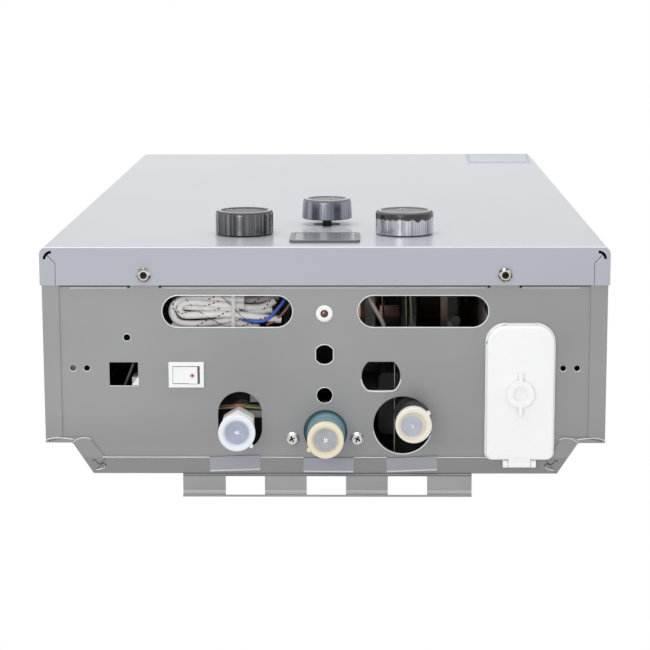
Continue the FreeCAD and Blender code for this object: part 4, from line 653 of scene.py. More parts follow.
@dataclass(frozen=True)
class KnobSkin(Coat):
    """Smoked chrome with painted reflections in upright streaks on its side, a darker top and a painted
    highlight round the top's rim.
    """

    axis: Spot
    front: float
    dark: Colour
    bright: Colour
    top: Colour
    streak: float = 0.16
    contrast: float = 3.0
    shift: float = 0.5
    band: float = 0.0
    reach: float = 18.5
    rim: Colour = (0.72, 0.73, 0.76)

    def paint(self, painter: Painter) -> None:
        """Lay on the painted reflections of the side and the top, and the painted highlight round the top's
        rim.

        Args:
            painter: The tree's builder.
        """
        across, depth, height = painter.spot()
        aside = across - self.axis[0]
        ahead = height - self.axis[1]
        angle = aside.combine("ARCTAN2", ahead)
        # Painted reflections: light and dark streaks round the axis.
        wide = painter.streaks(angle, self.streak)
        fine = painter.streaks(angle, self.streak / 6, 2.0)
        shine = (wide.spread(self.shift, self.contrast) + fine.spread(0.5, 0.9) + 0.4).clear()
        tone = painter.mix(shine, self.dark, self.bright)
        # On one knob, a painted dark reflection in a wavy strip across the upper side.
        if self.band:
            wave = painter.streaks(angle, 0.35, 1.0) * 5.0
            upper = (depth - (self.front + self.band) - wave + 2.5).inside(0.0, 0.8)
            tone = painter.mix(upper, tone, self.dark)
        # The top: a flat grey with cloudy painted reflections.
        darker = tuple(part * 0.75 for part in self.top)
        face = painter.mix(painter.noise(9.0).spread(0.35, 2.0).clear(), self.top, darker)
        cap = (depth - (self.front + 1.1)).inside(0.0, 0.3)
        # A painted highlight round the rim of the top.
        edge = abs(aside.reach(ahead) - (self.reach - 2.4)).inside(0.35, 0.5)
        face = painter.mix((edge * (ahead < 4.0)).clear(), face, self.rim)
        painter.feed({"Base Color": painter.mix(cap, tone, face), "Metallic": 0.75 - cap * 0.75,
                      "Roughness": fine * 0.12 + 0.14, "Coat Weight": 0.3 - cap * 0.3,
                      "Specular IOR Level": 0.02})
        painter.bump(fine, 0.02)


class Look(Enum):
    """The finishes of the heater's pieces."""

    # Casing: the dark strip over the low flange is painted shade under the fold, and the soft strip above
    # it is painted shade over the lower part of the panel.
    CASING = BandedSheet("casing_grey", colour=(0.34, 0.34, 0.345), shade=(0.29, 0.29, 0.295),
                         roughness=0.42, metallic=0.5, grain=0.35, relief=0.015, cloud=90,
                         light_bands=(Band(middle=137.8, half=5.2, soft=1.0, colour=(0.245, 0.245, 0.249)),
                                Band(middle=122.0, half=4.0, soft=30.0, colour=(0.28, 0.28, 0.284))))
    # Cover: face and flange are tones of painted light on one lacquer, and fold is a painted highlight.
    COVER = CoverSkin("cover_silver", face=(0.342, 0.355, 0.386), flange=(0.425, 0.445, 0.495),
                      fold=(0.84, 0.85, 0.88))
    ZINC = Finish("zinc_plate", colour=(0.66, 0.66, 0.64), shade=(0.52, 0.52, 0.5), roughness=0.34,
                  metallic=0.9, grain=0.8)
    # Bracket: the pale strip is a painted highlight along its bend, and the thin dark strip is a painted
    # shadow line at the gap below the casing.
    BRACKET = BandedSheet("bracket_sheet", colour=(0.37, 0.37, 0.37), shade=(0.3, 0.3, 0.305),
                          roughness=0.4, metallic=0.6, grain=0.4, cloud=45,
                          light_bands=(Band(middle=154.4, half=0.9, soft=1.0, colour=(0.56, 0.56, 0.56)),
                                 Band(middle=143.9, half=0.5, soft=0.6, colour=(0.12, 0.12, 0.12))))
    # Screw heads: painted reflections, a painted highlight ring and painted shade in the middle and the
    # cross recess.
    PANEL_SCREW = ScrewHead("outlet_screw_plate", metal=(0.86, 0.86, 0.85), edge=(0.52, 0.51, 0.49),
                            shadow=(0.7, 0.7, 0.69), across=20.25, depth=120.8, turn=28, arm=2.0,
                            width=0.42, well=2.6)
    COVER_SCREW = ScrewHead("cover_screw_plate", metal=(0.75, 0.73, 0.68), edge=(0.1, 0.09, 0.08),
                            shadow=(0.07, 0.055, 0.045), across=110.8, depth=17.4, turn=45, arm=1.7,
                            width=0.5, well=2.3)
    NICKEL = Finish("nickel_plate", colour=(0.86, 0.86, 0.84), shade=(0.66, 0.67, 0.66), roughness=0.3,
                    metallic=0.15, coat=0.3, grain=0.7, cloud=8)
    BRASS = Finish("cast_brass", colour=(0.7, 0.5, 0.22), shade=(0.46, 0.32, 0.14), roughness=0.42,
                   metallic=0.9, grain=0.7)
    COPPER = Finish("copper", colour=(0.66, 0.33, 0.2), shade=(0.36, 0.17, 0.1), roughness=0.4,
                    metallic=0.9, grain=0.9)
    # Painted shade: copper parts inside the casing, darkened to the shade seen through the openings.
    DULL_COPPER = Finish("dull_copper", colour=(0.1, 0.055, 0.04), shade=(0.04, 0.025, 0.02),
                         roughness=0.5, metallic=0.6, grain=0.9)
    STEEL = Finish("stainless_sheet", colour=(0.6, 0.6, 0.59), shade=(0.44, 0.44, 0.43), roughness=0.3,
                   metallic=1.0, grain=0.5, stretch=(1, 1, 20))
    # Knobs: dark and bright are the two tones of the painted reflections on the side, and top is the tone
    # of the top's painted reflections.
    KNOB_LEFT = KnobSkin("left_knob_chrome", axis=LEFT_KNOB, front=-15.3, dark=(0.028, 0.028, 0.03),
                         bright=(0.26, 0.26, 0.27), top=(0.09, 0.088, 0.092), streak=0.14, contrast=2.4)
    KNOB_CENTRE = KnobSkin("centre_knob_chrome", axis=CENTRE_KNOB, front=-17.2, dark=(0.12, 0.13, 0.15),
                           bright=(0.38, 0.4, 0.46), top=(0.158, 0.16, 0.164), streak=0.5, contrast=2.4,
                           shift=0.55, reach=16)
    KNOB_RIGHT = KnobSkin("right_knob_chrome", axis=RIGHT_KNOB, front=-15.3, dark=(0.06, 0.06, 0.062),
                          bright=(0.76, 0.78, 0.85), top=(0.142, 0.141, 0.146), streak=0.4, contrast=1.3,
                          shift=0.35, band=5.0)
    DISPLAY = Finish("display_black", colour=(0.16, 0.163, 0.168), shade=(0.1, 0.102, 0.108),
                     roughness=0.35, coat=0.05, relief=0.004, mirror=0.15)
    GLASS = Finish("dark_window", colour=(0.15, 0.153, 0.16), shade=(0.11, 0.112, 0.12), roughness=0.2,
                   coat=0.1, relief=0.0, gloss_change=0.03, mirror=0.15)
    BOARD = Finish("circuit_board", colour=(0.04, 0.2, 0.09), shade=(0.02, 0.12, 0.05), roughness=0.5)
    WHITE = Finish("white_plastic", colour=(0.91, 0.91, 0.91), shade=(0.88, 0.88, 0.88), roughness=0.3,
                   coat=0.25, relief=0.01, grain=0.8, gloss_change=0.06, scatter=0.1)
    GAS_CAP = CapFace("milky_cap", ring=(0.8, 0.82, 0.87), bevel=(0.66, 0.7, 0.78),
                      middle=(0.37, 0.405, 0.51), pale=(0.44, 0.475, 0.57), axis=GAS_PIPE)
    HOT_CAP = CapFace("cream_cap", ring=(0.78, 0.72, 0.56), bevel=(0.66, 0.6, 0.45),
                      middle=(0.37, 0.385, 0.42), pale=(0.46, 0.48, 0.53), axis=HOT_PIPE)
    COLD_CAP = CapFace("pale_cap", ring=(0.8, 0.77, 0.67), bevel=(0.68, 0.63, 0.5),
                       middle=(0.44, 0.46, 0.53), pale=(0.52, 0.545, 0.6), middle_reach=6.6,
                       axis=(COLD_PIPE[0] - 1.0, COLD_PIPE[1] + 0.5))
    LENS = LampFace("red_lens", colour=(0.13, 0.012, 0.012), rim=(0.02, 0.003, 0.003), axis=LAMP)
    SEAL = Finish("teal_rubber", colour=(0.038, 0.1, 0.14), shade=(0.022, 0.062, 0.09), roughness=0.45,
                  cloud=9)
    COLLAR = Finish("teal_collar", colour=(0.185, 0.31, 0.36), shade=(0.13, 0.24, 0.28), roughness=0.4,
                    cloud=7)
    # Painted shade: metal parts inside the casing, darkened to the shade seen through the openings.
    SHADE_DARKENED = Finish("dark_cast_metal", colour=(0.035, 0.034, 0.033), shade=(0.014, 0.014, 0.016),
                    roughness=0.5, metallic=0.3, grain=0.8, cloud=20)
    PALE_BLOCK = Finish("pale_grey_block", colour=(0.42, 0.42, 0.4), shade=(0.3, 0.3, 0.29),
                        roughness=0.5, cloud=6)
    SHEET_EDGE = Finish("raw_sheet_edge", colour=(0.42, 0.38, 0.3), shade=(0.2, 0.17, 0.12),
                        roughness=0.4, metallic=0.2, cloud=14)
    OLIVE_EDGE = Finish("olive_edge", colour=(0.2, 0.21, 0.12), shade=(0.08, 0.09, 0.05), roughness=0.4,
                        metallic=0.2, cloud=7)
    HANGING = Finish("grey_lead", colour=(0.36, 0.34, 0.31), shade=(0.22, 0.2, 0.19), roughness=0.5,
                     cloud=12)
    STAY = Finish("dull_stay", colour=(0.1, 0.1, 0.095), shade=(0.055, 0.055, 0.05), roughness=0.5,
                  cloud=8)
    # Painted shade in the curls of the lower corners.
    CREASE = Finish("dark_crease", colour=(0.05, 0.05, 0.052), shade=(0.03, 0.03, 0.03), roughness=0.6)
    # White of the painted highlights on the knobs and the window.
    DOT = Finish("white_dot", colour=(0.85, 0.85, 0.86), shade=(0.78, 0.78, 0.8), roughness=0.3)
    # Black of the dark mouldings, and of the painted shade in the shaft opening.
    BLACK = Finish("black_moulding", colour=(0.03, 0.03, 0.032), shade=(0.018, 0.018, 0.02),
                   roughness=0.5)
    BLUE = Finish("blue_insulation", colour=(0.03, 0.1, 0.48), shade=(0.015, 0.05, 0.3), roughness=0.35,
                  relief=0.01)
    BROWN = Finish("brown_insulation", colour=(0.26, 0.13, 0.09), shade=(0.16, 0.07, 0.05),
                   roughness=0.4, relief=0.01)
    PINK = Finish("pink_insulation", colour=(0.42, 0.27, 0.2), shade=(0.3, 0.18, 0.13), roughness=0.4,
                  relief=0.01)
    GREEN = Finish("green_insulation", colour=(0.38, 0.42, 0.16), shade=(0.25, 0.29, 0.1), roughness=0.4,
                   relief=0.01)
    CERAMIC = Finish("glazed_ceramic", colour=(0.84, 0.81, 0.74), shade=(0.76, 0.72, 0.64),
                     roughness=0.25, coat=0.4)
    TIE = Finish("cable_tie_nylon", colour=(0.74, 0.74, 0.735), shade=(0.64, 0.64, 0.635), roughness=0.4,
                 relief=0.01, alpha=0.5)
    TRACER = Finish("tracer_thread", colour=(0.11, 0.035, 0.035), shade=(0.05, 0.02, 0.02),
                    roughness=0.6, cloud=1.2)
    # Bright lines: painted highlights along the folds and curls, and along the openings, where they also
    # stand for the bare edge.
    RIM = Finish("bare_edge", colour=(0.8, 0.8, 0.79), shade=(0.66, 0.66, 0.65), roughness=0.35,
                 metallic=0.6, cloud=25)
    STICKER = Finish("grey_sticker", colour=(0.325, 0.325, 0.375), shade=(0.3, 0.3, 0.345),
                     roughness=0.5, grain=0.5, relief=0.004)
    STICKER_EDGE = Finish("pale_sticker_edge", colour=(0.6, 0.61, 0.66), shade=(0.55, 0.56, 0.61),
                          roughness=0.5, relief=0.004)
    NOTICE = Finish("blue_notice", colour=(0.3, 0.34, 0.43), shade=(0.27, 0.31, 0.4), roughness=0.4,
                    relief=0.004)
    NOTICE_FIELD = Finish("notice_field", colour=(0.4, 0.425, 0.48), shade=(0.36, 0.385, 0.44),
                          roughness=0.4, relief=0.004, cloud=25)
    PINK_RING = Finish("pink_ring", colour=(0.8, 0.66, 0.7), shade=(0.84, 0.74, 0.77), roughness=0.35,
                       relief=0.002)
    RED_DOT = Finish("red_dot", colour=(0.32, 0.05, 0.07), shade=(0.24, 0.03, 0.05), roughness=0.35,
                     relief=0.002)
    SLEEVE = Sleeve("white_sleeve", colour=(0.8, 0.79, 0.77), shade=(0.58, 0.57, 0.56),
                    tracer=(0.16, 0.03, 0.03))
    # Painted shade: the white sleeve darkened for the runs deeper in the hank, with a darker tracer.
    GREY_SLEEVE = Sleeve("grey_sleeve", colour=(0.46, 0.43, 0.42), shade=(0.34, 0.31, 0.31),
                         tracer=(0.05, 0.02, 0.03))
    FLOOR = Finish("pale_floor", colour=(0.8, 0.8, 0.8), shade=(0.78, 0.78, 0.78), roughness=0.6,
                   cloud=900, grain=20)

    def material(self) -> bpy.types.Material:
        """Return this finish's material, built on its first use."""
        found = bpy.data.materials.get(PREFIX + self.value.name)
        return found or self.value.build()


DRESS = {
    Look.CASING: ["rear_casing", "bottom_panel", "top_panel"],
    Look.COVER: ["front_cover"],
    Look.BRACKET: ["wall_bracket_lower", "wall_bracket_upper"],
    Look.ZINC: ["draught_hood", "flue_collar", "chamber_straps", "battery_contacts",
                "lid_hinge_pin", "burner_frame", "gas_manifold", "overheat_sensor"],
    Look.PANEL_SCREW: ["outlet_screws"],
    Look.COVER_SCREW: ["cover_screws"],
    Look.NICKEL: ["gas_inlet_fitting"],
    Look.BRASS: ["hot_outlet_fitting"],
    Look.COPPER: ["heat_exchanger"],
    Look.DULL_COPPER: ["combustion_chamber", "chamber_coil", "hot_pipe", "cold_pipe"],
    Look.STEEL: ["burner_bars"],
    Look.SHADE_DARKENED: ["gas_valve", "water_valve", "section_valve", "valve_bracket", "solenoid_valve",
                  "cold_inlet_fitting", "spindle_left", "spindle_right", "spindle_centre"],
    Look.KNOB_LEFT: ["knob_left"],
    Look.KNOB_CENTRE: ["knob_centre"],
    Look.KNOB_RIGHT: ["knob_right"],
    Look.DISPLAY: ["display_bezel"],
    Look.GLASS: ["display_window"],
    Look.BOARD: ["display_board"],
    Look.WHITE: ["switch_body", "switch_rocker", "led_bezel", "battery_box", "battery_lid",
                 "battery_latch"],
    Look.PALE_BLOCK: ["terminal_block", "wire_connector"],
    Look.GAS_CAP: ["gas_cap"],
    Look.HOT_CAP: ["hot_cap"],
    Look.COLD_CAP: ["cold_cap"],
    Look.LENS: ["led_lamp"],
    Look.SEAL: ["hot_outlet_seal"],
    Look.BLACK: ["ignition_controller", "micro_switch"],
    Look.TIE: ["cable_tie"],
    Look.BLUE: ["blue_wire"],
    Look.BROWN: ["brown_wire"],
    Look.HANGING: ["wire_bundle", "hanging_wire"],
    Look.CERAMIC: ["ignition_electrodes"],
}


def dress(nodes: dict[str, bpy.types.Object]) -> None:
    """Give every solid of the heater its finish.

    Args:
        nodes: The solids by name.
    """
    for look, names in DRESS.items():
        for name in names:
            mesh = nodes[name].data
            mesh.materials.clear()
            mesh.materials.append(look.material())
    LOG.info("dressed %d solids", sum(len(names) for names in DRESS.values()))


def link(name: str, data: bpy.types.ID) -> bpy.types.Object:
    """Put a mesh, a curve, a light or a camera in the scene.

    Args:
        name: The object's name.
        data: What it shows.

    Returns:
        The object, at the origin.
    """
    thing = bpy.data.objects.new(name, data)
    bpy.context.scene.collection.objects.link(thing)
    return thing


def settle(thing: bpy.types.Object, body: Body, block: str | None = None) -> None:
    """Fix a finished piece to a body, and hide the solid that it stands for.

    Args:
        thing: The piece, with its place in its mesh.
        body: The body that carries it.
        block: The solid whose place it takes, if there is one.
    """
    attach(thing, body.value)
    if block:
        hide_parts(block)
    LOG.info("%s: %d faces on %s", thing.name, len(thing.data.polygons), body.value)


class Grower(Wiring):
    """A tree with named inputs that grows a piece, which is then made plain."""

    def __init__(self, name: str, inputs: dict[str, str]) -> None:
        """Start a tree.

        Args:
            name: The tree's name.
            inputs: Socket type for each named input, after the geometry.
        """
        super().__init__(bpy.data.node_groups.new(name, "GeometryNodeTree"))
        face = self.tree.interface
        face.new_socket("Geometry", in_out="INPUT", socket_type="NodeSocketGeometry")
        self.ids = {label: face.new_socket(label, in_out="INPUT", socket_type=kind).identifier
                    for label, kind in inputs.items()}
        face.new_socket("Geometry", in_out="OUTPUT", socket_type="NodeSocketGeometry")
        self.entry = self.add("NodeGroupInput")

    def close(self, geometry: bpy.types.NodeSocket) -> None:
        """End the tree with real, smooth faces that have their material.

        Args:
            geometry: The socket that gives the finished form.
        """
        real = self.add("GeometryNodeRealizeInstances", sockets={"Geometry": geometry})
        smooth = self.add("GeometryNodeSetShadeSmooth", sockets={"Geometry": real.outputs[0]})
        coat = self.add("GeometryNodeSetMaterial", sockets={
            "Geometry": smooth.outputs[0], "Material": self.entry.outputs["Material"]})
        self.add("NodeGroupOutput", sockets={0: coat.outputs[0]})

    def grow(self, name: str, start: bpy.types.ID, values: dict[str, object]) -> bpy.types.Object:
        """Run the tree on some data and return the plain mesh that it makes.

        Args:
            name: The piece's name.
            start: The curve or mesh that the tree begins with.
            values: The value of each named input.

        Returns:
            The piece as a plain mesh object.
        """
        seed = link(name + "_seed", start)
        modifier = seed.modifiers.new("grow", "NODES")
        modifier.node_group = self.tree
        for label, value in values.items():
            modifier[self.ids[label]] = value
        ready = seed.evaluated_get(bpy.context.evaluated_depsgraph_get())
        mesh = bpy.data.meshes.new_from_object(ready)
        bpy.data.objects.remove(seed)
        return link(name, mesh)


class Cord(Grower):
    """Gives a path a round section, and stores the way along it and around it."""

    def __init__(self) -> None:
        """Build the tree."""
        super().__init__("cord", {"Radius": "NodeSocketFloat", "Sides": "NodeSocketInt",
                                  "Material": "NodeSocketMaterial"})
        given = self.entry.outputs
        way = self.add("GeometryNodeSplineParameter").outputs
        path = self.add("GeometryNodeStoreNamedAttribute", sockets={
            "Geometry": given["Geometry"], "Name": "along", "Value": way["Length"]})
        section = self.add("GeometryNodeCurvePrimitiveCircle", sockets={
            "Resolution": given["Sides"], "Radius": given["Radius"]})
        band = self.add("GeometryNodeStoreNamedAttribute", sockets={
            "Geometry": section.outputs["Curve"], "Name": "around", "Value": way["Factor"]})
        tube = self.add("GeometryNodeCurveToMesh", sockets={
            "Curve": path.outputs["Geometry"], "Profile Curve": band.outputs["Geometry"],
            "Fill Caps": True})
        self.close(tube.outputs["Mesh"])

    def run(self, name: str, path: bpy.types.Curve, radius: float, sides: int,
            look: Look) -> bpy.types.Object:
        """Return a round cord along a path.

        Args:
            name: The piece's name.
            path: The curve that it follows.
            radius: Its radius in millimetres.
            sides: Number of its sides.
            look: Its finish.

        Returns:
            The cord as a plain mesh object.
        """
        return self.grow(name, path, {
            "Radius": radius * MM, "Sides": sides, "Material": look.material()})


def path_data(name: str, places: list[Place], closed: bool = False,
              straight: bool = False) -> bpy.types.Curve:
    """Return a smooth path through near the given places.

    Args:
        name: The path's name.
        places: Points as the maker gives them.
        closed: Whether the path joins its own start.
        straight: Whether it runs straight from point to point.

    Returns:
        The curve.
    """
    curve = bpy.data.curves.new(name, "CURVE")
    curve.dimensions = "3D"
    straight = straight or closed
    spline = curve.splines.new("POLY" if straight else "NURBS")
    spline.points.add(len(places) - 1)
    for point, place in zip(spline.points, places):
        point.co = (*at(*place), 1)
    spline.use_cyclic_u = closed
    if not straight:
        spline.order_u = min(4, len(places))
        spline.use_endpoint_u = True
        spline.resolution_u = 8
    return curve


def plate(name: str, corners: list[Place], thick: Place, look: Look | None = None) -> bpy.types.Object:
    """Return a thin plate over corners, with its other face moved by a thickness.

    Args:
        name: The piece's name.
        corners: The outline of one face, as the maker gives places.
        thick: The step from that face to the other one, in millimetres.
        look: Its finish, if it isn't just a cutter.

    Returns:
        The plate.
    """
    shift = Vector(thick) * MM
    face = [at(*corner) for corner in corners]
    points = face + [point + shift for point in face]
    count = len(face)
    ends = [tuple(range(count - 1, -1, -1)), tuple(range(count, 2 * count))]
    sides = [(step, (step + 1) % count, (step + 1) % count + count, step + count)
             for step in range(count)]
    mesh = bpy.data.meshes.new(name)
    mesh.from_pydata(points, [], ends + sides)
    mesh.validate()
    mesh.update()
    outward(mesh)
    if look:
        mesh.materials.append(look.material())
    return link(name, mesh)


def skin(name: str, loops: list[list[Place]], look: Look, closed: bool = False,
         smooth: float = 35.0) -> bpy.types.Object:
    """Return a piece whose skin runs through loops of as many places each.

    Args:
        name: The piece's name.
        loops: The loops in order, as the maker gives places.
        look: The finish.
        closed: Whether the last loop joins the first one, instead of both ends being filled.
        smooth: Angle in degrees above which an edge stays sharp.

    Returns:
        The piece.
    """
    count = len(loops[0])
    pairs = [(index, index + 1) for index in range(len(loops) - 1)]
    faces = [] if closed else [tuple(range(count)),
                               tuple(range((len(loops) - 1) * count, len(loops) * count))]
    if closed:
        pairs.append((len(loops) - 1, 0))
    faces += [(first * count + step, first * count + (step + 1) % count,
               second * count + (step + 1) % count, second * count + step)
              for first, second in pairs for step in range(count)]
    mesh = bpy.data.meshes.new(name)
    mesh.from_pydata([at(*place) for loop in loops for place in loop], [], faces)
    mesh.validate()
    outward(mesh)
    mesh.shade_smooth()
    mesh.set_sharp_from_angle(angle=math.radians(smooth))
    mesh.materials.append(look.material())
    return link(name, mesh)


def outward(mesh: bpy.types.Mesh) -> None:
    """Turn the faces of a closed mesh so that they look outwards.

    Args:
        mesh: The mesh.
    """
    work = bmesh.new()
    work.from_mesh(mesh)
    bmesh.ops.recalc_face_normals(work, faces=work.faces)
    work.to_mesh(mesh)
    work.free()


def reshape(node: str, name: str, move: Callable[[float, float, float], Place]) -> bpy.types.Object:
    """Return a copy of a solid whose points are moved.

    Args:
        node: The solid's name.
        name: The copy's name.
        move: Gives the new place of a point from its place as the maker gives it.

    Returns:
        The copy, with the solid's finish.
    """
    mesh = frame["nodes"][node].data.copy()
    mesh.name = name
    work = bmesh.new()
    work.from_mesh(mesh)
    bmesh.ops.remove_doubles(work, verts=work.verts, dist=0.002 * MM)
    for vertex in work.verts:
        place = (vertex.co - COVER_ZERO) / MM
        vertex.co = at(*move(*place))
    bmesh.ops.recalc_face_normals(work, faces=work.faces)
    work.to_mesh(mesh)
    work.free()
    return link(name, mesh)


def surface(node: str, across: float, depth: float) -> float:
    """Return the height of a solid's lowest surface at a place across and in depth."""
    found, spot, _, _ = frame["nodes"][node].ray_cast(at(across, depth, BELOW), Vector((0, 0, 1)))
    return (spot.z - COVER_ZERO.z) / MM if found else 0.0


def ring(centre: Spot, radius: float, level: float, count: int) -> list[Place]:
    """Return evenly spaced places round a circle in a plane of one height.

    Args:
        centre: Middle across and in depth.
        radius: Radius of the circle.
        level: Height of the plane.
        count: Number of places.

    Returns:
        The places.
    """
    turns = [math.tau * step / count for step in range(count)]
    return [(centre[0] + radius * math.cos(turn), centre[1] + radius * math.sin(turn), level)
            for turn in turns]


def arc(centre: Spot, radius: float, first: float, last: float,
        level: float, steps: int = 20) -> list[Place]:
    """Return places along an arc in a plane of one height.

    Args:
        centre: Middle across and in depth.
        radius: Radius of the arc.
        first: Angle of the first place in degrees, from across towards depth.
        last: Angle of the last place.
        level: Height of the plane.
        steps: Number of chords.

    Returns:
        The places.
    """
    turns = [math.radians(first + (last - first) * step / steps) for step in range(steps + 1)]
    return [(centre[0] + radius * math.cos(turn), centre[1] + radius * math.sin(turn), level)
            for turn in turns]


def rounded_loop(centre: Spot, size: Spot, radius: float,
                 level: float, steps: int = 6, far: float | None = None) -> list[Place]:
    """Return the places of a rounded rectangle in a plane of one height.

    Args:
        centre: Middle across and in depth.
        size: Width across and in depth.
        radius: Radius of the corners.
        level: Height of the plane.
        steps: Number of chords in each corner.
        far: Radius of the two corners farther back, if it differs.

    Returns:
        The loop's places.
    """
    loop = []
    for quarter in range(4):
        sign_x = 1 if quarter in (0, 3) else -1
        sign_y = 1 if quarter in (0, 1) else -1
        bend = radius if far is None or sign_y < 0 else far
        for step in range(steps + 1):
            angle = math.radians(90 * (quarter + step / steps))
            loop.append((centre[0] + sign_x * (size[0] / 2 - bend) + bend * math.cos(angle),
                         centre[1] + sign_y * (size[1] / 2 - bend) + bend * math.sin(angle),
                         level))
    return loop


@dataclass
class WireHank:
    """The folded hank of sleeved wires behind the left air slot, with its strap."""

    radius: float = 2.3
    sides: int = 16
    thread_radius: float = 0.22
    thread_sides: int = 8
    strap_thick: float = 0.5

    def routes(self) -> dict[str, tuple[Look, list[Place]]]:
        """Return the finish and the places of each sleeved wire.

        Returns:
            The finish and places by the wire's name.
        """
        return {
            "outer_loop": (Look.SLEEVE, [
                (-50, 34.2, 11), (-65.5, 32.6, 9), (-79.8, 33.0, 8), (-89.5, 33.4, 8), (-94.5, 38.2, 8),
                (-94.6, 43.5, 8), (-91.5, 48.4, 8), (-86.3, 49.6, 8), (-73.7, 49.3, 8.4),
                (-61.8, 47.7, 9), (-53.3, 45.8, 10), (-44.0, 42.6, 12), (-32.9, 41.4, 14)]),
            "inner_loop": (Look.SLEEVE, [
                (-50, 38.4, 10), (-65.5, 37.3, 8), (-78.1, 35.0, 7), (-87.0, 34.9, 7), (-90.5, 39.4, 7),
                (-88.5, 43.6, 7), (-83.0, 43.9, 7), (-69.5, 43.0, 7), (-57.6, 43.0, 7),
                (-45.6, 44.1, 7.4), (-36.1, 45.7, 8), (-27.0, 47.0, 9)]),
            "upper_run": (Look.SLEEVE, [
                (-82, 38.0, 12), (-77.4, 36.6, 12), (-67.1, 36.9, 11.6), (-53.6, 38.9, 11.6),
                (-44.2, 40.5, 11.6), (-36.2, 39.5, 13), (-31.0, 35.5, 14)]),
            "short_end": (Look.SLEEVE, [
                (-87.0, 38.6, 9.6), (-79.2, 39.4, 9.6), (-65.7, 40.0, 9.8), (-53.1, 41.6, 10)]),
            "lower_run": (Look.SLEEVE, [
                (-95.0, 50.9, 9), (-86.5, 51.8, 9), (-73.8, 50.8, 10), (-63.1, 50.0, 10.6),
                (-53.6, 49.2, 10), (-45.7, 50.3, 10), (-41.0, 52.3, 10)]),
            # These two runs lie deeper in the hank and take the sleeve darkened as painted shade.
            "shaded_run": (Look.GREY_SLEEVE, [
                (-62, 32.8, 16), (-55.4, 35.0, 16), (-45.9, 36.6, 16), (-38.0, 35.0, 16),
                (-29.0, 33.2, 17)]),
            "dark_run": (Look.GREY_SLEEVE, [
                (-60, 31.2, 18), (-50, 32.4, 18), (-40, 31.6, 18), (-33, 30.4, 18)]),
        }

    def threads(self) -> dict[str, list[Place]]:
        """Return the places of each tracer thread that lies across the wires.

        Returns:
            The places by the thread's name.
        """
        return {
            "long": [(-64.6, 31.0, 6.6), (-57.9, 36.9, 5.5), (-54.0, 41.0, 4.8), (-50.9, 44.6, 4.9),
                     (-43.9, 49.9, 7.0)],
            "left": [(-78.0, 40.6, 5.2), (-73.5, 43.6, 4.5), (-70.2, 45.9, 5.4), (-64.0, 49.5, 6.6)],
            "turn": [(-85.6, 33.0, 5.0), (-83.8, 35.4, 4.5), (-82.0, 37.9, 6.0)],
        }

    def build(self, cord: Cord) -> None:
        """Make the wires, their tracer threads and the strap in place of their blocks.

        Args:
            cord: The tree that makes round cords.
        """
        for name, (look, places) in self.routes().items():
            wire = cord.run(f"hank_{name}", path_data(name, places), self.radius, self.sides, look)
            settle(wire, Body.HEATER, "wire_bundle" if name == "outer_loop" else None)
        for name, places in self.threads().items():
            thread = cord.run(f"thread_{name}", path_data(name, places), self.thread_radius,
                              self.thread_sides, Look.TRACER)
            settle(thread, Body.HEATER)
        outline = [(-57.3, 30.8, 4.3), (-55.2, 30.8, 4.3), (-55.4, 50.4, 4.3), (-57.5, 50.4, 4.3)]
        strap = plate("hank_strap", outline, (0, 0, -self.strap_thick), Look.TIE)
        settle(strap, Body.HEATER, "cable_tie")


@dataclass(frozen=True)
class Line:
    """A line of trim: its places, its radius, and whether it closes on itself."""

    places: list[Place]
    radius: float
    closed: bool = False


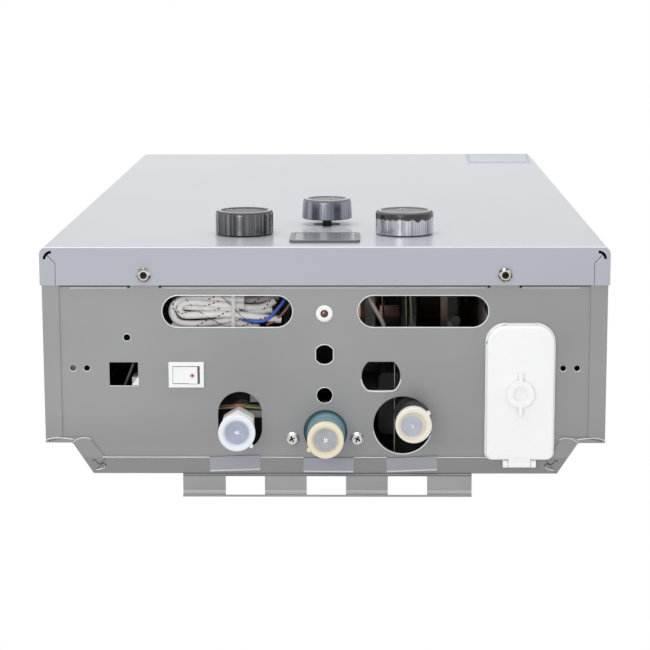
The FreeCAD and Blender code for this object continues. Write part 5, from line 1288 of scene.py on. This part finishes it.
@dataclass
class PanelTrim:
    """Bright edges of the openings with painted highlights, painted highlights along the folds and curls,
    painted shade in the curls, and the bare stickers at the pipe ends.
    """

    face: float = 1.8
    flange: float = 1.0
    slot_middles: tuple[Spot, Spot] = ((-59.85, 40.45), (60.8, 40.45))
    slot_size: Spot = (80.8, 20.1)
    key_middle: Spot = (0.0, 67.5)
    key_reach: float = 6.3
    key_flat: float = 29.0
    flat_middle: Spot = (34.9, 81.3)
    flat_reach: float = 12.5
    flat_far: float = 90.9
    flat_half: float = 8.4
    round_hole: tuple[Spot, float] = ((0.0, 93.3), 5.1)
    cold_hole: tuple[Spot, float] = ((48.4, 112.0), 18.6)
    rivet_hole: tuple[Spot, float] = ((-122.1, 56.8), 2.35)
    pair_holes: tuple[float, ...] = (-155.9, -147.3, 147.3, 155.9)
    pair_depth: float = 76.1
    pair_radius: float = 2.1
    near_fold: float = 25.75
    low_fold: float = 132.6
    fold_radius: float = 0.3
    sides: int = 8
    sticker_depth: float = 0.12
    sticker_strip: float = 0.9
    strip_depth: float = 0.03

    def openings(self) -> dict[str, Line]:
        """Return the bright line along the edge of each opening: the bare edge with a painted highlight.

        Returns:
            The lines by name.
        """
        near, far = self.key_flat, 180 - self.key_flat
        key = (arc(self.key_middle, self.key_reach, near, far, self.face)
               + arc(self.key_middle, self.key_reach, 180 + near, 180 + far, self.face))
        across = self.flat_middle[0]
        lip = (arc(self.flat_middle, self.flat_reach, 172, 140, self.face, 5)
               + [(across + side * self.flat_half, self.flat_far, self.face) for side in (-1, 1)]
               + arc(self.flat_middle, self.flat_reach, 40, 8, self.face, 5))
        left_slot, right_slot = (
            rounded_loop(spot, self.slot_size, self.slot_size[1] / 2 - 0.01, self.face, 10)
            for spot in self.slot_middles)
        edges = {
            "left_slot_rim": Line(left_slot, 0.42, closed=True),
            "right_slot_rim": Line(right_slot, 0.42, closed=True),
            "key_hole_rim": Line(key, 0.36, closed=True),
            "round_hole_rim": Line(arc(*self.round_hole, 0, 350, self.face), 0.3, closed=True),
            "flat_hole_lip": Line(lip, 0.62),
            "cold_hole_lip": Line(arc(*self.cold_hole, 20, 168, self.face), 0.5),
            "window_lip": Line([(-133.2, 87.4, self.face), (-115.4, 87.4, self.face),
                                (-115.4, 82.4, self.face)], 0.28),
            "rivet_hole_rim": Line(arc(*self.rivet_hole, 0, 345, self.face), 0.24, closed=True),
        }
        for count, across in enumerate(self.pair_holes):
            rim = arc((across, self.pair_depth), self.pair_radius, 10, 170, self.face)
            edges[f"pair_hole_rim_{count}"] = Line(rim, 0.3)
        return edges

    def folds(self) -> dict[str, Line]:
        """Return the painted highlight along each fold.

        Returns:
            The lines by name.
        """
        near, low, level = self.near_fold, self.low_fold, self.flange
        spans = {"left": (-157, -121.8), "middle": (-99, 99), "right": (121.8, 157)}
        lines = {f"top_fold_{name}": Line([(across, near, self.face) for across in span], self.fold_radius)
                 for name, span in spans.items()}
        for count, span in enumerate(((-138.6, -72), (-40.2, -13.3), (18.1, 38.4), (69.8, 138.6))):
            lines[f"low_fold_{count}"] = Line([(across, low, level) for across in span], self.fold_radius)
        bends = {"chamfer_fold": ([(145.6, 121.4), (147.2, 120.2), (152.2, 120.0), (154.3, 121.1),
                                   (157.0, 122.9)], 0.25),
                 "ledge_fold": ([(156.9, 121.4), (162.1, 120.0), (171.1, 119.6), (174.2, 122.0)], 0.28),
                 "curl_bright": ([(142.9, 140.7), (139.6, 140.4), (137.4, 139.4), (137.3, 138.2)], 0.3)}
        for side, sign in (("left", -1), ("right", 1)):
            for name, (spots, radius) in bends.items():
                places = [(sign * across, depth, level) for across, depth in spots]
                lines[f"{name}_{side}"] = Line(places, radius)
        return lines

    def creases(self) -> dict[str, Line]:
        """Return the painted shade in the curl at each lower corner.

        Returns:
            The lines by name.
        """
        curl = [(144.9, 135.5), (144.4, 133.9), (142.9, 134.5), (142.2, 136.6), (139.9, 137.2),
                (138.1, 136.4), (136.5, 137.3), (137.0, 138.9), (139.4, 139.5)]
        return {f"curl_{side}": Line([(sign * across, depth, self.flange) for across, depth in curl], 0.26)
                for side, sign in (("left", -1), ("right", 1))}

    def lines(self, cord: Cord) -> None:
        """Make the bright edges with their painted highlights, and the painted shade in the creases.

        Args:
            cord: The tree that makes round cords.
        """
        bright = {**self.openings(), **self.folds()}
        for look, lines in ((Look.RIM, bright), (Look.CREASE, self.creases())):
            for name, line in lines.items():
                path = path_data(name, line.places, line.closed, straight=len(line.places) < 4)
                settle(cord.run(name, path, line.radius, self.sides, look), Body.HEATER)

    def stickers(self) -> None:
        """Make the three small stickers, bare of words, each with a paler lower edge."""
        spots = {"gas_sticker": ((-71.9, 132.4), (-40.3, 131.3), (-40.3, 140.7), (-71.5, 141.7)),
                 "hot_sticker": ((-13.2, 133.0), (18.0, 133.0), (17.8, 142.2), (-13.3, 142.0)),
                 "cold_sticker": ((38.4, 133.2), (69.7, 131.7), (69.9, 140.8), (38.7, 142.1))}
        face = self.flange - self.sticker_depth
        for name, corners in spots.items():
            base = plate(name, [(*corner, self.flange) for corner in corners],
                         (0, 0, -self.sticker_depth), Look.STICKER)
            settle(base, Body.HEATER)
            (right, right_far), (left, left_far) = corners[2], corners[3]
            strip = [(left, left_far - self.sticker_strip, face),
                     (right, right_far - self.sticker_strip, face),
                     (right, right_far, face), (left, left_far, face)]
            edge = plate(name + "_edge", strip, (0, 0, -self.strip_depth), Look.STICKER_EDGE)
            settle(edge, Body.HEATER)

    def build(self, cord: Cord) -> None:
        """Make all the trim of the panel.

        Args:
            cord: The tree that makes round cords.
        """
        self.lines(cord)
        self.stickers()


@dataclass(frozen=True)
class Knob:
    """One knob: its axis, its radii, and the depths of its foot and its top."""

    body: Body
    axis: Spot
    foot_radius: float
    top_radius: float
    foot: float
    top: float
    look: Look


@dataclass
class Knobs:
    """Round knobs with a rolled upper edge, a raised rim and a dished top."""

    knobs: tuple[Knob, ...] = (
        Knob(Body.KNOB_LEFT, LEFT_KNOB, 18.5, 18.5, -0.5, -15.3, Look.KNOB_LEFT),
        Knob(Body.KNOB_RIGHT, RIGHT_KNOB, 18.5, 18.5, -0.5, -15.3, Look.KNOB_RIGHT),
        Knob(Body.KNOB_CENTRE, CENTRE_KNOB, 16.6, 16.0, -4.2, -17.2, Look.KNOB_CENTRE))
    edge: float = 2.2
    rim: float = 1.7
    bevel: float = 0.5
    dish: float = 0.5
    dish_slope: float = 0.6
    hub: float = 2.0
    sides: int = 72
    chords: int = 6

    def loop(self, axis: Spot, radius: float, depth: float) -> list[Place]:
        """Return a loop round a knob's axis.

        Args:
            axis: The axis, across and in height.
            radius: The loop's radius.
            depth: The loop's depth.

        Returns:
            The loop's places.
        """
        return [(across, depth, height) for across, height, _ in ring(axis, radius, 0, self.sides)]

    def profile(self, knob: Knob) -> list[Spot]:
        """Return the radius and depth of each loop of a knob, from its foot to its middle.

        Args:
            knob: The knob.

        Returns:
            The profile.
        """
        inner = knob.top_radius - self.edge - self.rim
        turns = [math.radians(90 * step / self.chords) for step in range(1, self.chords + 1)]
        return [(knob.foot_radius - self.bevel, knob.foot), (knob.foot_radius, knob.foot - self.bevel),
                (knob.top_radius, knob.top + self.edge),
                *((knob.top_radius - self.edge * (1 - math.cos(turn)),
                   knob.top + self.edge * (1 - math.sin(turn))) for turn in turns),
                (inner, knob.top), (inner - self.dish_slope, knob.top + self.dish),
                (self.hub, knob.top + self.dish)]

    def build(self) -> None:
        """Make the three knobs and put them in place of their blocks."""
        for knob in self.knobs:
            name = knob.body.value
            loops = [self.loop(knob.axis, *spot) for spot in self.profile(knob)]
            settle(skin(f"{name}_body", loops, knob.look), knob.body, name)


@dataclass(frozen=True)
class Cap:
    """One shipping cap: its axis, the radii of its bore and ring, and the direction of its tab."""

    body: Body
    axis: Spot
    bore: float
    ring: float
    tab: float
    look: Look


@dataclass
class PipeEnds:
    """Shipping caps, the hexagon of the gas inlet and the collar round the hot outlet."""

    caps: tuple[Cap, ...] = (
        Cap(Body.GAS_CAP, GAS_PIPE, 8.5, 11.3, 43, Look.GAS_CAP),
        Cap(Body.HOT_CAP, HOT_PIPE, 10.6, 11.2, 149, Look.HOT_CAP),
        Cap(Body.COLD_CAP, COLD_PIPE, 10.6, 11.1, -40, Look.COLD_CAP))
    face: float = -25.1
    skirt: float = 0.35
    tab_size: Spot = (2.6, 2.6)
    tab_corner: float = 1.29
    tab_out: float = 0.5
    hexagon_flats: float = 19.0
    hexagon_bevel: float = 0.6
    sides: int = 64

    def hexagon(self, axis: Spot, flats: float, level: float) -> list[Place]:
        """Return a hexagon with a corner towards the side, in as many places as a round loop.

        Args:
            axis: The axis, across and in depth.
            flats: Width across its flats.
            level: The loop's height.

        Returns:
            The loop's places.
        """
        sixth = math.pi / 3
        turns = [math.tau * step / self.sides for step in range(self.sides)]
        reach = [flats / 2 / math.cos((turn + sixth / 2) % sixth - sixth / 2) for turn in turns]
        return [(axis[0] + far * math.cos(turn), axis[1] + far * math.sin(turn), level)
                for turn, far in zip(turns, reach)]

    def cap(self, cap: Cap) -> None:
        """Make one cap with a narrow skirt, a wide ring, a dished middle and a pull tab.

        Args:
            cap: Its sizes.
        """
        name, face, skirt, wide = cap.body.value, self.face, cap.bore + self.skirt, cap.ring
        # Radius and height from the bore's floor, over the skirt and the ring, to the dish
        profile = [(cap.bore, face + 2.6), (cap.bore, face + 6.6), (skirt, face + 6.6),
                   (skirt, face + 3.2), (wide, face + 3.2), (wide, face + 0.6),
                   (wide - 0.2, face + 0.15), (wide - 0.7, face), (8.4, face), (8.0, face + 0.2),
                   (7.3, face + 1.4)]
        loops = [ring(cap.axis, *spot, self.sides) for spot in profile]
        settle(skin(f"{name}_shell", loops, cap.look), cap.body, name)
        out = wide + self.tab_out
        turn = math.radians(cap.tab)
        tip = (cap.axis[0] + out * math.cos(turn), cap.axis[1] + out * math.sin(turn))
        ear = skin(f"{name}_ear", [rounded_loop(tip, self.tab_size, self.tab_corner, face + level)
                                   for level in (0.9, 2.9)], cap.look)
        settle(ear, cap.body)

    def inlet(self) -> None:
        """Make the gas inlet, with its thread, hexagon and pipe."""
        flats = self.hexagon_flats
        # Radius and height, from inside the bore to the foot of the thread
        thread = [(6.4, 36), (6.4, -22.4), (7.5, -22.4), (8.33, -21.5), (8.33, -9)]
        loops = [ring(GAS_PIPE, *spot, self.sides) for spot in thread]
        loops += [self.hexagon(GAS_PIPE, flats - self.hexagon_bevel, -9.0),
                  self.hexagon(GAS_PIPE, flats, -8.6), self.hexagon(GAS_PIPE, flats, 3.0)]
        loops += [ring(GAS_PIPE, 7.6, level, self.sides) for level in (3.0, 38.0)]
        settle(skin("gas_inlet", loops, Look.NICKEL), Body.HEATER, "gas_inlet_fitting")

    def collar(self) -> None:
        """Make the collar round the hot outlet."""
        # Radius and height, from the panel along its outside to its end, and back by its bore
        profile = [(10.5, 1.0), (11.7, 1.0), (11.7, -6.0), (11.4, -6.4), (11.4, -15.0), (11.0, -15.5),
                   (10.5, -15.5)]
        loops = [ring(HOT_PIPE, *spot, self.sides) for spot in profile]
        settle(skin("hot_collar", loops, Look.COLLAR, closed=True), Body.HEATER)

    def build(self) -> None:
        """Make the caps, the gas inlet and the collar."""
        for cap in self.caps:
            self.cap(cap)
        self.inlet()
        self.collar()


@dataclass
class BatteryDoor:
    """The battery lid with a crowned face, and the rim that it closes on."""

    middle: Spot = (120.7, 90.5)
    rim: Spot = (43.0, 86.0)
    near: float = 12.0
    far: float = 5.0
    far_most_in: float = 4.0
    chords: int = 10
    knuckle_half: float = 6.9
    knuckle_radius: float = 2.35
    knuckle_bore: float = 1.12
    knuckle_sides: int = 32
    web_depth: float = 132.7
    web_size: Spot = (13.8, 3.4)
    web_corner: float = 0.3
    web_levels: Spot = (-4.2, -1.9)

    def loop(self, inset: float, level: float) -> list[Place]:
        """Return a loop inside the rim's outline at one level.

        Args:
            inset: How far it is inside.
            level: Its height.

        Returns:
            The loop's places.
        """
        size = (self.rim[0] - 2 * inset, self.rim[1] - 2 * inset)
        far = self.far - min(inset, self.far_most_in)
        return rounded_loop(self.middle, size, self.near - inset, level, self.chords, far)

    def hinge(self) -> None:
        """Make the lid's knuckle round the pin, and the web that joins them."""
        _, depth, height = middle("lid_hinge_pin")
        ends = [(-self.knuckle_half, self.knuckle_bore), (-self.knuckle_half, self.knuckle_radius),
                (self.knuckle_half, self.knuckle_radius), (self.knuckle_half, self.knuckle_bore)]
        loops = [[(self.middle[0] + side, y, z)
                  for y, z, _ in ring((depth, height), radius, 0, self.knuckle_sides)]
                 for side, radius in ends]
        settle(skin("door_knuckle", loops, Look.WHITE, closed=True), Body.LID)
        spot = (self.middle[0], self.web_depth)
        loops = [rounded_loop(spot, self.web_size, self.web_corner, level) for level in self.web_levels]
        settle(skin("door_web", loops, Look.WHITE), Body.LID)

    def build(self) -> None:
        """Make the rim, the lid and its hinge."""
        # Inset and height of each loop
        rim = [(0.0, 2.4), (0.0, -0.9), (0.4, -1.3), (3.4, -1.3), (3.4, 2.4)]
        lid = [(3.2, -1.6), (0.9, -1.6), (0.8, -3.2), (1.1, -4.1), (1.9, -4.6), (3.0, -4.7)]
        settle(skin("battery_rim", [self.loop(*spot) for spot in rim], Look.WHITE, closed=True),
               Body.HEATER)
        settle(skin("battery_door", [self.loop(*spot) for spot in lid], Look.WHITE),
               Body.LID, "battery_lid")
        self.hinge()


@dataclass(frozen=True)
class Block:
    """A small flat part: its middle, size, corner radius, level, thickness and finish."""

    centre: Spot
    size: Spot
    corner: float
    level: float
    thick: float
    look: Look


@dataclass(frozen=True)
class Lead:
    """A lead or edge: its places, radius and finish, its slot, and the solid that it stands for."""

    places: list[Place]
    radius: float
    look: Look
    slot: Slot = Slot.WHITE_WIRE
    block: str | None = None


@dataclass
class InsideGlimpses:
    """The small parts that show inside the openings: leads, sheet edges and a screw boss."""

    sides: int = 10
    notch_size: Spot = (3.4, 1.9)
    notch_depth: float = 26.6
    fill_level: float = 1.78

    def leads(self) -> dict[str, Lead]:
        """Return each lead and edge.

        Returns:
            The leads by name.
        """
        return {
            "pink_lead": Lead([(-72, 104.6, 14), (-65, 103.9, 12), (-57.2, 103.0, 11.5),
                               (-53.5, 102.6, 11.5)], 0.62, Look.PINK),
            "brown_lead": Lead([(-72, 103.2, 14), (-65, 102.4, 12.4), (-57.2, 101.5, 11.8),
                                (-53.5, 101.6, 11.5)], 0.6, Look.BROWN, Slot.BROWN_WIRE),
            "green_lead": Lead([(-53.5, 102.2, 11.5), (-49.2, 102.9, 11.5), (-41, 103.7, 12),
                                (-35, 104.2, 14)], 0.6, Look.GREEN),
            "olive_lead": Lead([(-53.5, 101.4, 11.5), (-48.7, 101.7, 11.8), (-41, 102.4, 12.4),
                                (-35, 103, 14)], 0.55, Look.OLIVE_EDGE),
            "inner_sheet_edge": Lead([(43.5, 70, 12), (43.5, 92, 12), (43.5, 110, 12), (43.4, 133, 12)],
                                     0.34, Look.SHEET_EDGE),
            "blue_lead": Lead([(-22.5, 30.5, 9), (-25.7, 35.9, 7.5), (-29.9, 40.6, 6), (-34.5, 45.7, 4.4),
                               (-39.2, 47.9, 4.2), (-46.5, 47.0, 5.5), (-51, 46.4, 8)],
                              1.0, Look.BLUE, Slot.BLUE_WIRE, "blue_wire"),
            "brown_lead_end": Lead([(-20.5, 35.5, 9), (-25.0, 42.5, 8), (-29.8, 47.7, 7), (-36.0, 49.8, 7)],
                                   0.8, Look.BROWN, Slot.BROWN_WIRE, "brown_wire"),
            "drooping_lead": Lead([(26.0, 30.5, 12), (29.1, 37.0, 11), (32.9, 43.0, 11), (36.0, 49.0, 12),
                                   (37.3, 53.5, 12)], 1.3, Look.HANGING, block="hanging_wire"),
            "window_stay": Lead([(-117.9, 70, 9), (-119.5, 76, 9), (-122.2, 82, 9), (-125.6, 90, 9)],
                                0.9, Look.STAY),
            "left_olive_edge": Lead([(50.2, 28, 14), (50.4, 36, 14), (50.7, 44, 14), (50.8, 54, 14)],
                                    0.3, Look.OLIVE_EDGE),
            "right_olive_edge": Lead([(52.8, 28, 14), (53.0, 36, 14), (53.9, 38, 14), (53.9, 54, 14)],
                                     0.42, Look.OLIVE_EDGE),
        }

    def blocks(self) -> dict[str, Block]:
        """Return the sizes of each small block and of each fill in the panel's sheet.

        Returns:
            The blocks by name.
        """
        made = {
            "lead_boss": Block((-53.3, 102.2), (6.2, 3.6), 1.2, 9.6, 4.0, Look.COPPER),
            "lead_block": Block((-44.5, 107.9), (10.4, 4.2), 0.5, 14.0, 5.0, Look.PALE_BLOCK),
            "stopped_hole": Block((-155.6, 76.1), (3.0, 3.0), 1.49, 2.4, 0.6, Look.STAY),
        }
        fills = {f"notch_fill_{count}": ((across, self.notch_depth), self.notch_size)
                 for count, across in enumerate((-121.2, -101.9, 101.9, 121.2))}
        fills |= {f"corner_fill_{count}": ((across, 51.2), (5.2, 5.2))
                  for count, across in enumerate((101.4, 140.0))}
        made |= {name: Block(centre, size, 0.1, self.fill_level, 0.3, Look.CASING)
                 for name, (centre, size) in fills.items()}
        # A coil in the metal darkened as painted shade.
        made["dark_coil"] = Block((81.5, 49.5), (6.2, 6.4), 3.0, 20.0, 6.0, Look.SHADE_DARKENED)
        return made

    def build(self, cord: Cord) -> None:
        """Make the parts.

        Args:
            cord: The tree that makes round cords.
        """
        for name, lead in self.leads().items():
            thing = cord.run(name, path_data(name, lead.places), lead.radius, self.sides, lead.look)
            settle(thing, Body.HEATER, lead.block)
        for name, block in self.blocks().items():
            outline = rounded_loop(block.centre, block.size, block.corner, block.level)
            settle(plate(name, outline, (0, 0, block.thick), block.look), Body.HEATER)
        # A white triangle on the window: a painted highlight.
        glint = plate("window_glint", [(-119.6, 86.9, 1.75), (-115.6, 86.9, 1.75), (-115.6, 81.2, 1.75)],
                      (0, 0, 0.4), Look.DOT)
        settle(glint, Body.HEATER)


def carve(body: bpy.types.Object, tools: list[bpy.types.Object]) -> None:
    """Cut some pieces out of another one, and remove them.

    Args:
        body: The piece that stays.
        tools: The pieces that are cut out of it.
    """
    for tool in tools:
        cut = body.modifiers.new("cut", "BOOLEAN")
        cut.operation = "DIFFERENCE"
        cut.solver = "EXACT"
        cut.object = tool
    ready = body.evaluated_get(bpy.context.evaluated_depsgraph_get())
    mesh = bpy.data.meshes.new_from_object(ready)
    body.modifiers.clear()
    body.data = mesh
    for tool in tools:
        bpy.data.objects.remove(tool)


@dataclass
class Cover:
    """The sheet tray of the front: wide bends along its sides, sharp ones at its ends."""

    half: float = 175.0
    length: float = 600.0
    lip: float = 24.0
    sheet: float = 0.8
    side_bend: float = 5.0
    end_bend: float = 1.3
    bend_chords: int = 10
    relief: Spot = (167.5, 7.7)
    relief_radius: float = 4.4
    relief_width: float = 1.7
    seam: Spot = (165.3, 10.2)
    seam_half: float = 0.2
    seam_tip: tuple[Spot, Spot] = ((170.4, 4.5), (170.7, 4.8))
    hollow_past: float = 3.0
    shaft_holes: tuple[tuple[Spot, float], ...] = ((LEFT_KNOB, 6.5), (RIGHT_KNOB, 6.5), (CENTRE_KNOB, 9.2))
    display_middle: Spot = (0.0, 36.5)
    display_size: Spot = (40.8, 35.8)
    display_corner: float = 2.4
    screw: Spot = (110.8, 17.4)
    screw_hole: float = 2.2
    hole_sides: int = 48
    margin: float = 2.0

    def shell(self, name: str, inset: float, end: float) -> bpy.types.Object:
        """Return a closed body with the tray's bends.

        Args:
            name: The body's name.
            inset: How far its faces are inside the tray's outer faces.
            end: Depth where it ends.

        Returns:
            The body.
        """
        side, short = self.side_bend - inset, self.end_bend - inset
        turns = [math.radians(90 * step / self.bend_chords) for step in range(1, self.bend_chords + 1)]
        depths = sorted({0.0, end - inset, *(bend * (1 - math.cos(turn))
                                             for bend in (side, short) for turn in turns)})
        loops = []
        for depth in depths:
            aside = side - math.sqrt(side ** 2 - max(side - depth, 0.0) ** 2)
            ahead = short - math.sqrt(short ** 2 - max(short - depth, 0.0) ** 2)
            half, low, high = self.half - inset - aside, inset + ahead, self.length - inset - ahead
            loops.append([(-half, depth + inset, low), (half, depth + inset, low),
                          (half, depth + inset, high), (-half, depth + inset, high)])
        return skin(name, loops, Look.COVER, smooth=30)

    def cutters(self) -> list[bpy.types.Object]:
        """Return the bodies that are cut out of the tray.

        Returns:
            The hollow, the holes of the face, and the reliefs, slits and holes of the ends.
        """
        out = -self.margin
        through = (0, 2 * self.margin, 0)
        made = [self.shell("hollow", self.sheet, self.lip + self.hollow_past)]
        outlines = [ring(*hole, 0, self.hole_sides) for hole in self.shaft_holes]
        outlines.append(rounded_loop(self.display_middle, self.display_size, self.display_corner, 0))
        made += [plate("hole", [(across, out, height) for across, height, _ in outline], through)
                 for outline in outlines]
        along = (0, 0, self.length + 2 * self.margin)
        (across, depth), (seam, corner) = self.relief, self.seam
        inner = self.relief_radius - self.relief_width / 2
        outer = self.relief_radius + self.relief_width / 2
        near, far = seam - self.seam_half, seam + self.seam_half
        slit = [*self.seam_tip, (far, corner + 0.1), (far, self.lip + 1),
                (near, self.lip + 1), (near, corner - 0.1)]
        for side in (-1, 1):
            first, last = (180, 270) if side < 0 else (0, -90)
            band = (arc((side * across, depth), outer, first, last, out, 12)
                    + arc((side * across, depth), inner, last, first, out, 12))
            hole = ring((side * self.screw[0], self.screw[1]), self.screw_hole, out, self.hole_sides // 2)
            made += [plate("relief", band, along),
                     plate("slit", [(side * x, y, out) for x, y in slit], along),
                     plate("hole", hole, along)]
        return made

    def build(self) -> None:
        """Make the tray and put it in place of its block."""
        tray = self.shell("cover_tray", 0.0, self.lip)
        carve(tray, self.cutters())
        tray.data.shade_smooth()
        tray.data.set_sharp_from_angle(angle=math.radians(30))
        settle(tray, Body.HEATER, "front_cover")


@dataclass
class SheetForms:
    """Forms of the casing, the foot and the battery tray that follow the pressed sheet more closely."""

    door: BatteryDoor = field(default_factory=BatteryDoor)
    ledge_out: float = 1.4
    ledge_depth: float = 123.3
    ledge_before: float = 1.8
    ledge_across: Spot = (140, 160)
    chamfer_depth: float = 19.7
    back_in: float = 1.15
    foot: float = 0.25
    tray_play: float = 1.0
    tray_top: float = 3.0

    def casing(self, across: float, depth: float, height: float) -> Place:
        """Return a casing point with the ledge wider and the back narrower.

        Args:
            across: Where the point is across.
            depth: Where it is in depth.
            height: Where it is in height.

        Returns:
            Its new place.
        """
        inner, outer = self.ledge_across
        if depth > self.ledge_depth - self.ledge_before and inner < abs(across) < outer:
            way = min(max((depth - self.ledge_depth) / self.chamfer_depth, 0.0), 1.0)
            across *= 1 + self.ledge_out * (1 - (1 + self.back_in) * way) / abs(across)
        return across, depth, height

    def bracket(self, across: float, depth: float, height: float) -> Place:
        """Return a point of the lower bracket with a short foot."""
        return across, depth, height * self.foot if height < 0 else height

    def tray(self, across: float, depth: float, height: float) -> Place:
        """Return a point of the battery tray with its near corners inside the rounded rim.

        Args:
            across: Where the point is across.
            depth: Where it is in depth.
            height: Where it is in height.

        Returns:
            Its new place.
        """
        (door_across, door_depth), (width, length) = self.door.middle, self.door.rim
        limit = self.door.near - self.tray_play
        aside = abs(across - door_across) - (width / 2 - self.door.near)
        ahead = door_depth - length / 2 + self.door.near - depth
        reach = math.hypot(aside, ahead)
        if aside > 0 and ahead > 0 and height < self.tray_top and reach > limit:
            pull = limit / reach - 1
            across += math.copysign(1.0, across - door_across) * aside * pull
            depth -= ahead * pull
        return across, depth, height

    def build(self) -> None:
        """Make the casing, the battery tray and the lower bracket."""
        forms = (("rear_casing", "casing_sheet", self.casing, Slot.CASING),
                 ("battery_box", "battery_tray", self.tray, Slot.WHITE),
                 ("wall_bracket_lower", "bracket_foot", self.bracket, Slot.CASING))
        for node, name, move, slot in forms:
            settle(reshape(node, name, move), Body.HEATER, node)


@dataclass
class CoverMarks:
    """The notice near the far corner of the cover, painted highlight dots on the knobs, painted shade in
    the shaft opening, and the dots on the rocker.
    """

    lift: float = 0.05
    dot_radius: float = 0.62
    dot_gap: float = 1.15
    dot_sides: int = 15
    shaft_radius: float = 8.7
    rocker_spot: Spot = (-81.7, 80.25)
    rocker_lift: float = 0.04
    rocker_thick: float = 0.4
    rocker_sides: int = 18

    def disc(self, name: str, spot: Place, radius: float, body: Body, slot: Slot, look: Look) -> None:
        """Make one flat dot that faces forwards.

        Args:
            name: The piece's name.
            spot: Its middle, on the face that it lies on.
            radius: Its radius.
            body: The body that carries it.
            slot: Not used.
            look: Its finish.
        """
        across, level, height = spot
        edge = [(x, level, z) for x, z, _ in ring((across, height), radius, level, self.dot_sides)]
        settle(plate(name, edge, (0, -self.lift, 0), look), body)

    def notice(self) -> None:
        """Make the notice, bare of words, with a paler field."""
        outer = [(115.7, 0, 598.5), (171.5, 0, 598.5), (167.7, 0, 514.4), (114.2, 0, 515.2)]
        inner = [(119.0, -self.lift, 590), (168.9, -self.lift, 590), (165.6, -self.lift, 529.0),
                 (117.2, -self.lift, 529.5)]
        for name, corners, look in (("corner_notice", outer, Look.NOTICE),
                                    ("notice_field", inner, Look.NOTICE_FIELD)):
            settle(plate(name, corners, (0, -self.lift, 0), look), Body.HEATER)

    def rocker_dots(self) -> None:
        """Make the red dot and its pale ring on the sloping half of the rocker."""
        for name, radius, lift, look in (("rocker_ring", 2.1, 0.0, Look.PINK_RING),
                                         ("rocker_dot", 0.95, 0.05, Look.RED_DOT)):
            rise = self.rocker_lift + lift
            edge = [(across, depth, surface("switch_rocker", across, depth) - rise)
                    for across, depth, _ in ring(self.rocker_spot, radius, 0, self.rocker_sides)]
            settle(plate(name, edge, (0, 0, self.rocker_thick), look), Body.ROCKER)

    def build(self) -> None:
        """Make the notice, the dots and the painted shade in the shaft opening."""
        self.notice()
        # Painted highlights: two white dots on the top of each knob, which turn with it.
        dots = {"left": (-62.2, -14.8, 67.5), "centre": (5.0, -16.7, 119.0), "right": (49.3, -14.8, 72.0)}
        for side, (across, level, height) in dots.items():
            for count, shift in enumerate((-self.dot_gap, self.dot_gap)):
                self.disc(f"dot_{side}_{count}", (across + shift, level, height), self.dot_radius,
                          Body(f"knob_{side}"), Slot.CHROME, Look.DOT)
        # A black disc over the centre knob's shaft opening: painted shade.
        self.disc("shaft_opening", (CENTRE_KNOB[0], 0.0, CENTRE_KNOB[1]), self.shaft_radius, Body.HEATER,
                  Slot.COVER, Look.BLACK)
        self.rocker_dots()


@dataclass
class Studio:
    """Camera, lights, white surround and a pale floor far below."""

    eye: Place = (23.016, -173.744, -1238.869)
    pitch: float = 10.174
    yaw: float = -1.046
    roll: float = -0.181
    lens: float = 113.28
    sensor: float = 36.0
    sight: float = 50.0
    floor_half: float = 6000.0
    floor_drop: float = 2200.0
    floor_thick: float = 10.0

    def camera(self) -> None:
        """Set the camera at the view of the photograph."""
        data = bpy.data.cameras.new("camera")
        data.lens = self.lens
        data.sensor_width = self.sensor
        data.clip_end = self.sight
        thing = link("camera", data)
        pitch, yaw, roll = (math.radians(angle) for angle in (self.pitch, self.yaw, self.roll))
        right = Vector((math.cos(yaw), 0, -math.sin(yaw)))
        forward = Vector((math.sin(yaw) * math.cos(pitch), math.sin(pitch),
                          math.cos(yaw) * math.cos(pitch)))
        up = right.cross(forward)
        turned = Matrix.Rotation(-roll, 3, forward)
        right, up = turned @ right, turned @ up
        matrix = Matrix((right, up, -forward)).transposed().to_4x4()
        matrix.translation = at(*self.eye)
        thing.matrix_world = matrix
        bpy.context.scene.camera = thing

    def lamp(self, name: str, place: Place, aim: Place, size: float, power: float) -> None:
        """Set one soft square light.

        Args:
            name: The light's name.
            place: Where it stands.
            aim: What it points at.
            size: Length of its side in metres.
            power: Its power in watts.
        """
        data = bpy.data.lights.new(name, "AREA")
        data.size = size
        data.energy = power
        thing = link(name, data)
        thing.location = at(*place)
        thing.rotation_euler = (at(*aim) - at(*place)).to_track_quat("-Z", "Y").to_euler()

    def build(self) -> None:
        """Set up the camera, the lights, the surround and the floor."""
        self.camera()
        scene = bpy.context.scene
        scene.view_settings.view_transform = "Standard"
        world = bpy.data.worlds.new("white_surround")
        world.use_nodes = True
        wiring = Wiring(world.node_tree)
        wiring.fill(world.node_tree.nodes["Background"], {"Color": (1, 1, 1, 1), "Strength": 1.0})
        scene.world = world
        self.lamp("top_light", (-200, -1500, 100), (0, 60, 250), 1.2, 14)
        self.lamp("end_light", (-500, -500, -1600), (0, 80, 0), 0.8, 6)
        floor = plate("floor", [(side * self.floor_half, end * self.floor_half, -self.floor_drop)
                                for side, end in ((-1, -1), (1, -1), (1, 1), (-1, 1))],
                      (0, 0, -self.floor_thick), Look.FLOOR)


def main() -> None:
    """Dress the heater and build its looks, piece by piece."""
    logging.basicConfig(level=logging.INFO, format="%(name)s: %(message)s")
    dress(frame["nodes"])
    cord = Cord()
    for corded in (WireHank(), PanelTrim(), InsideGlimpses()):
        corded.build(cord)
    for solid in (Knobs(), PipeEnds(), BatteryDoor(), Cover(), SheetForms(), CoverMarks(), Studio()):
        solid.build()


if __name__ == "__main__":
    main()
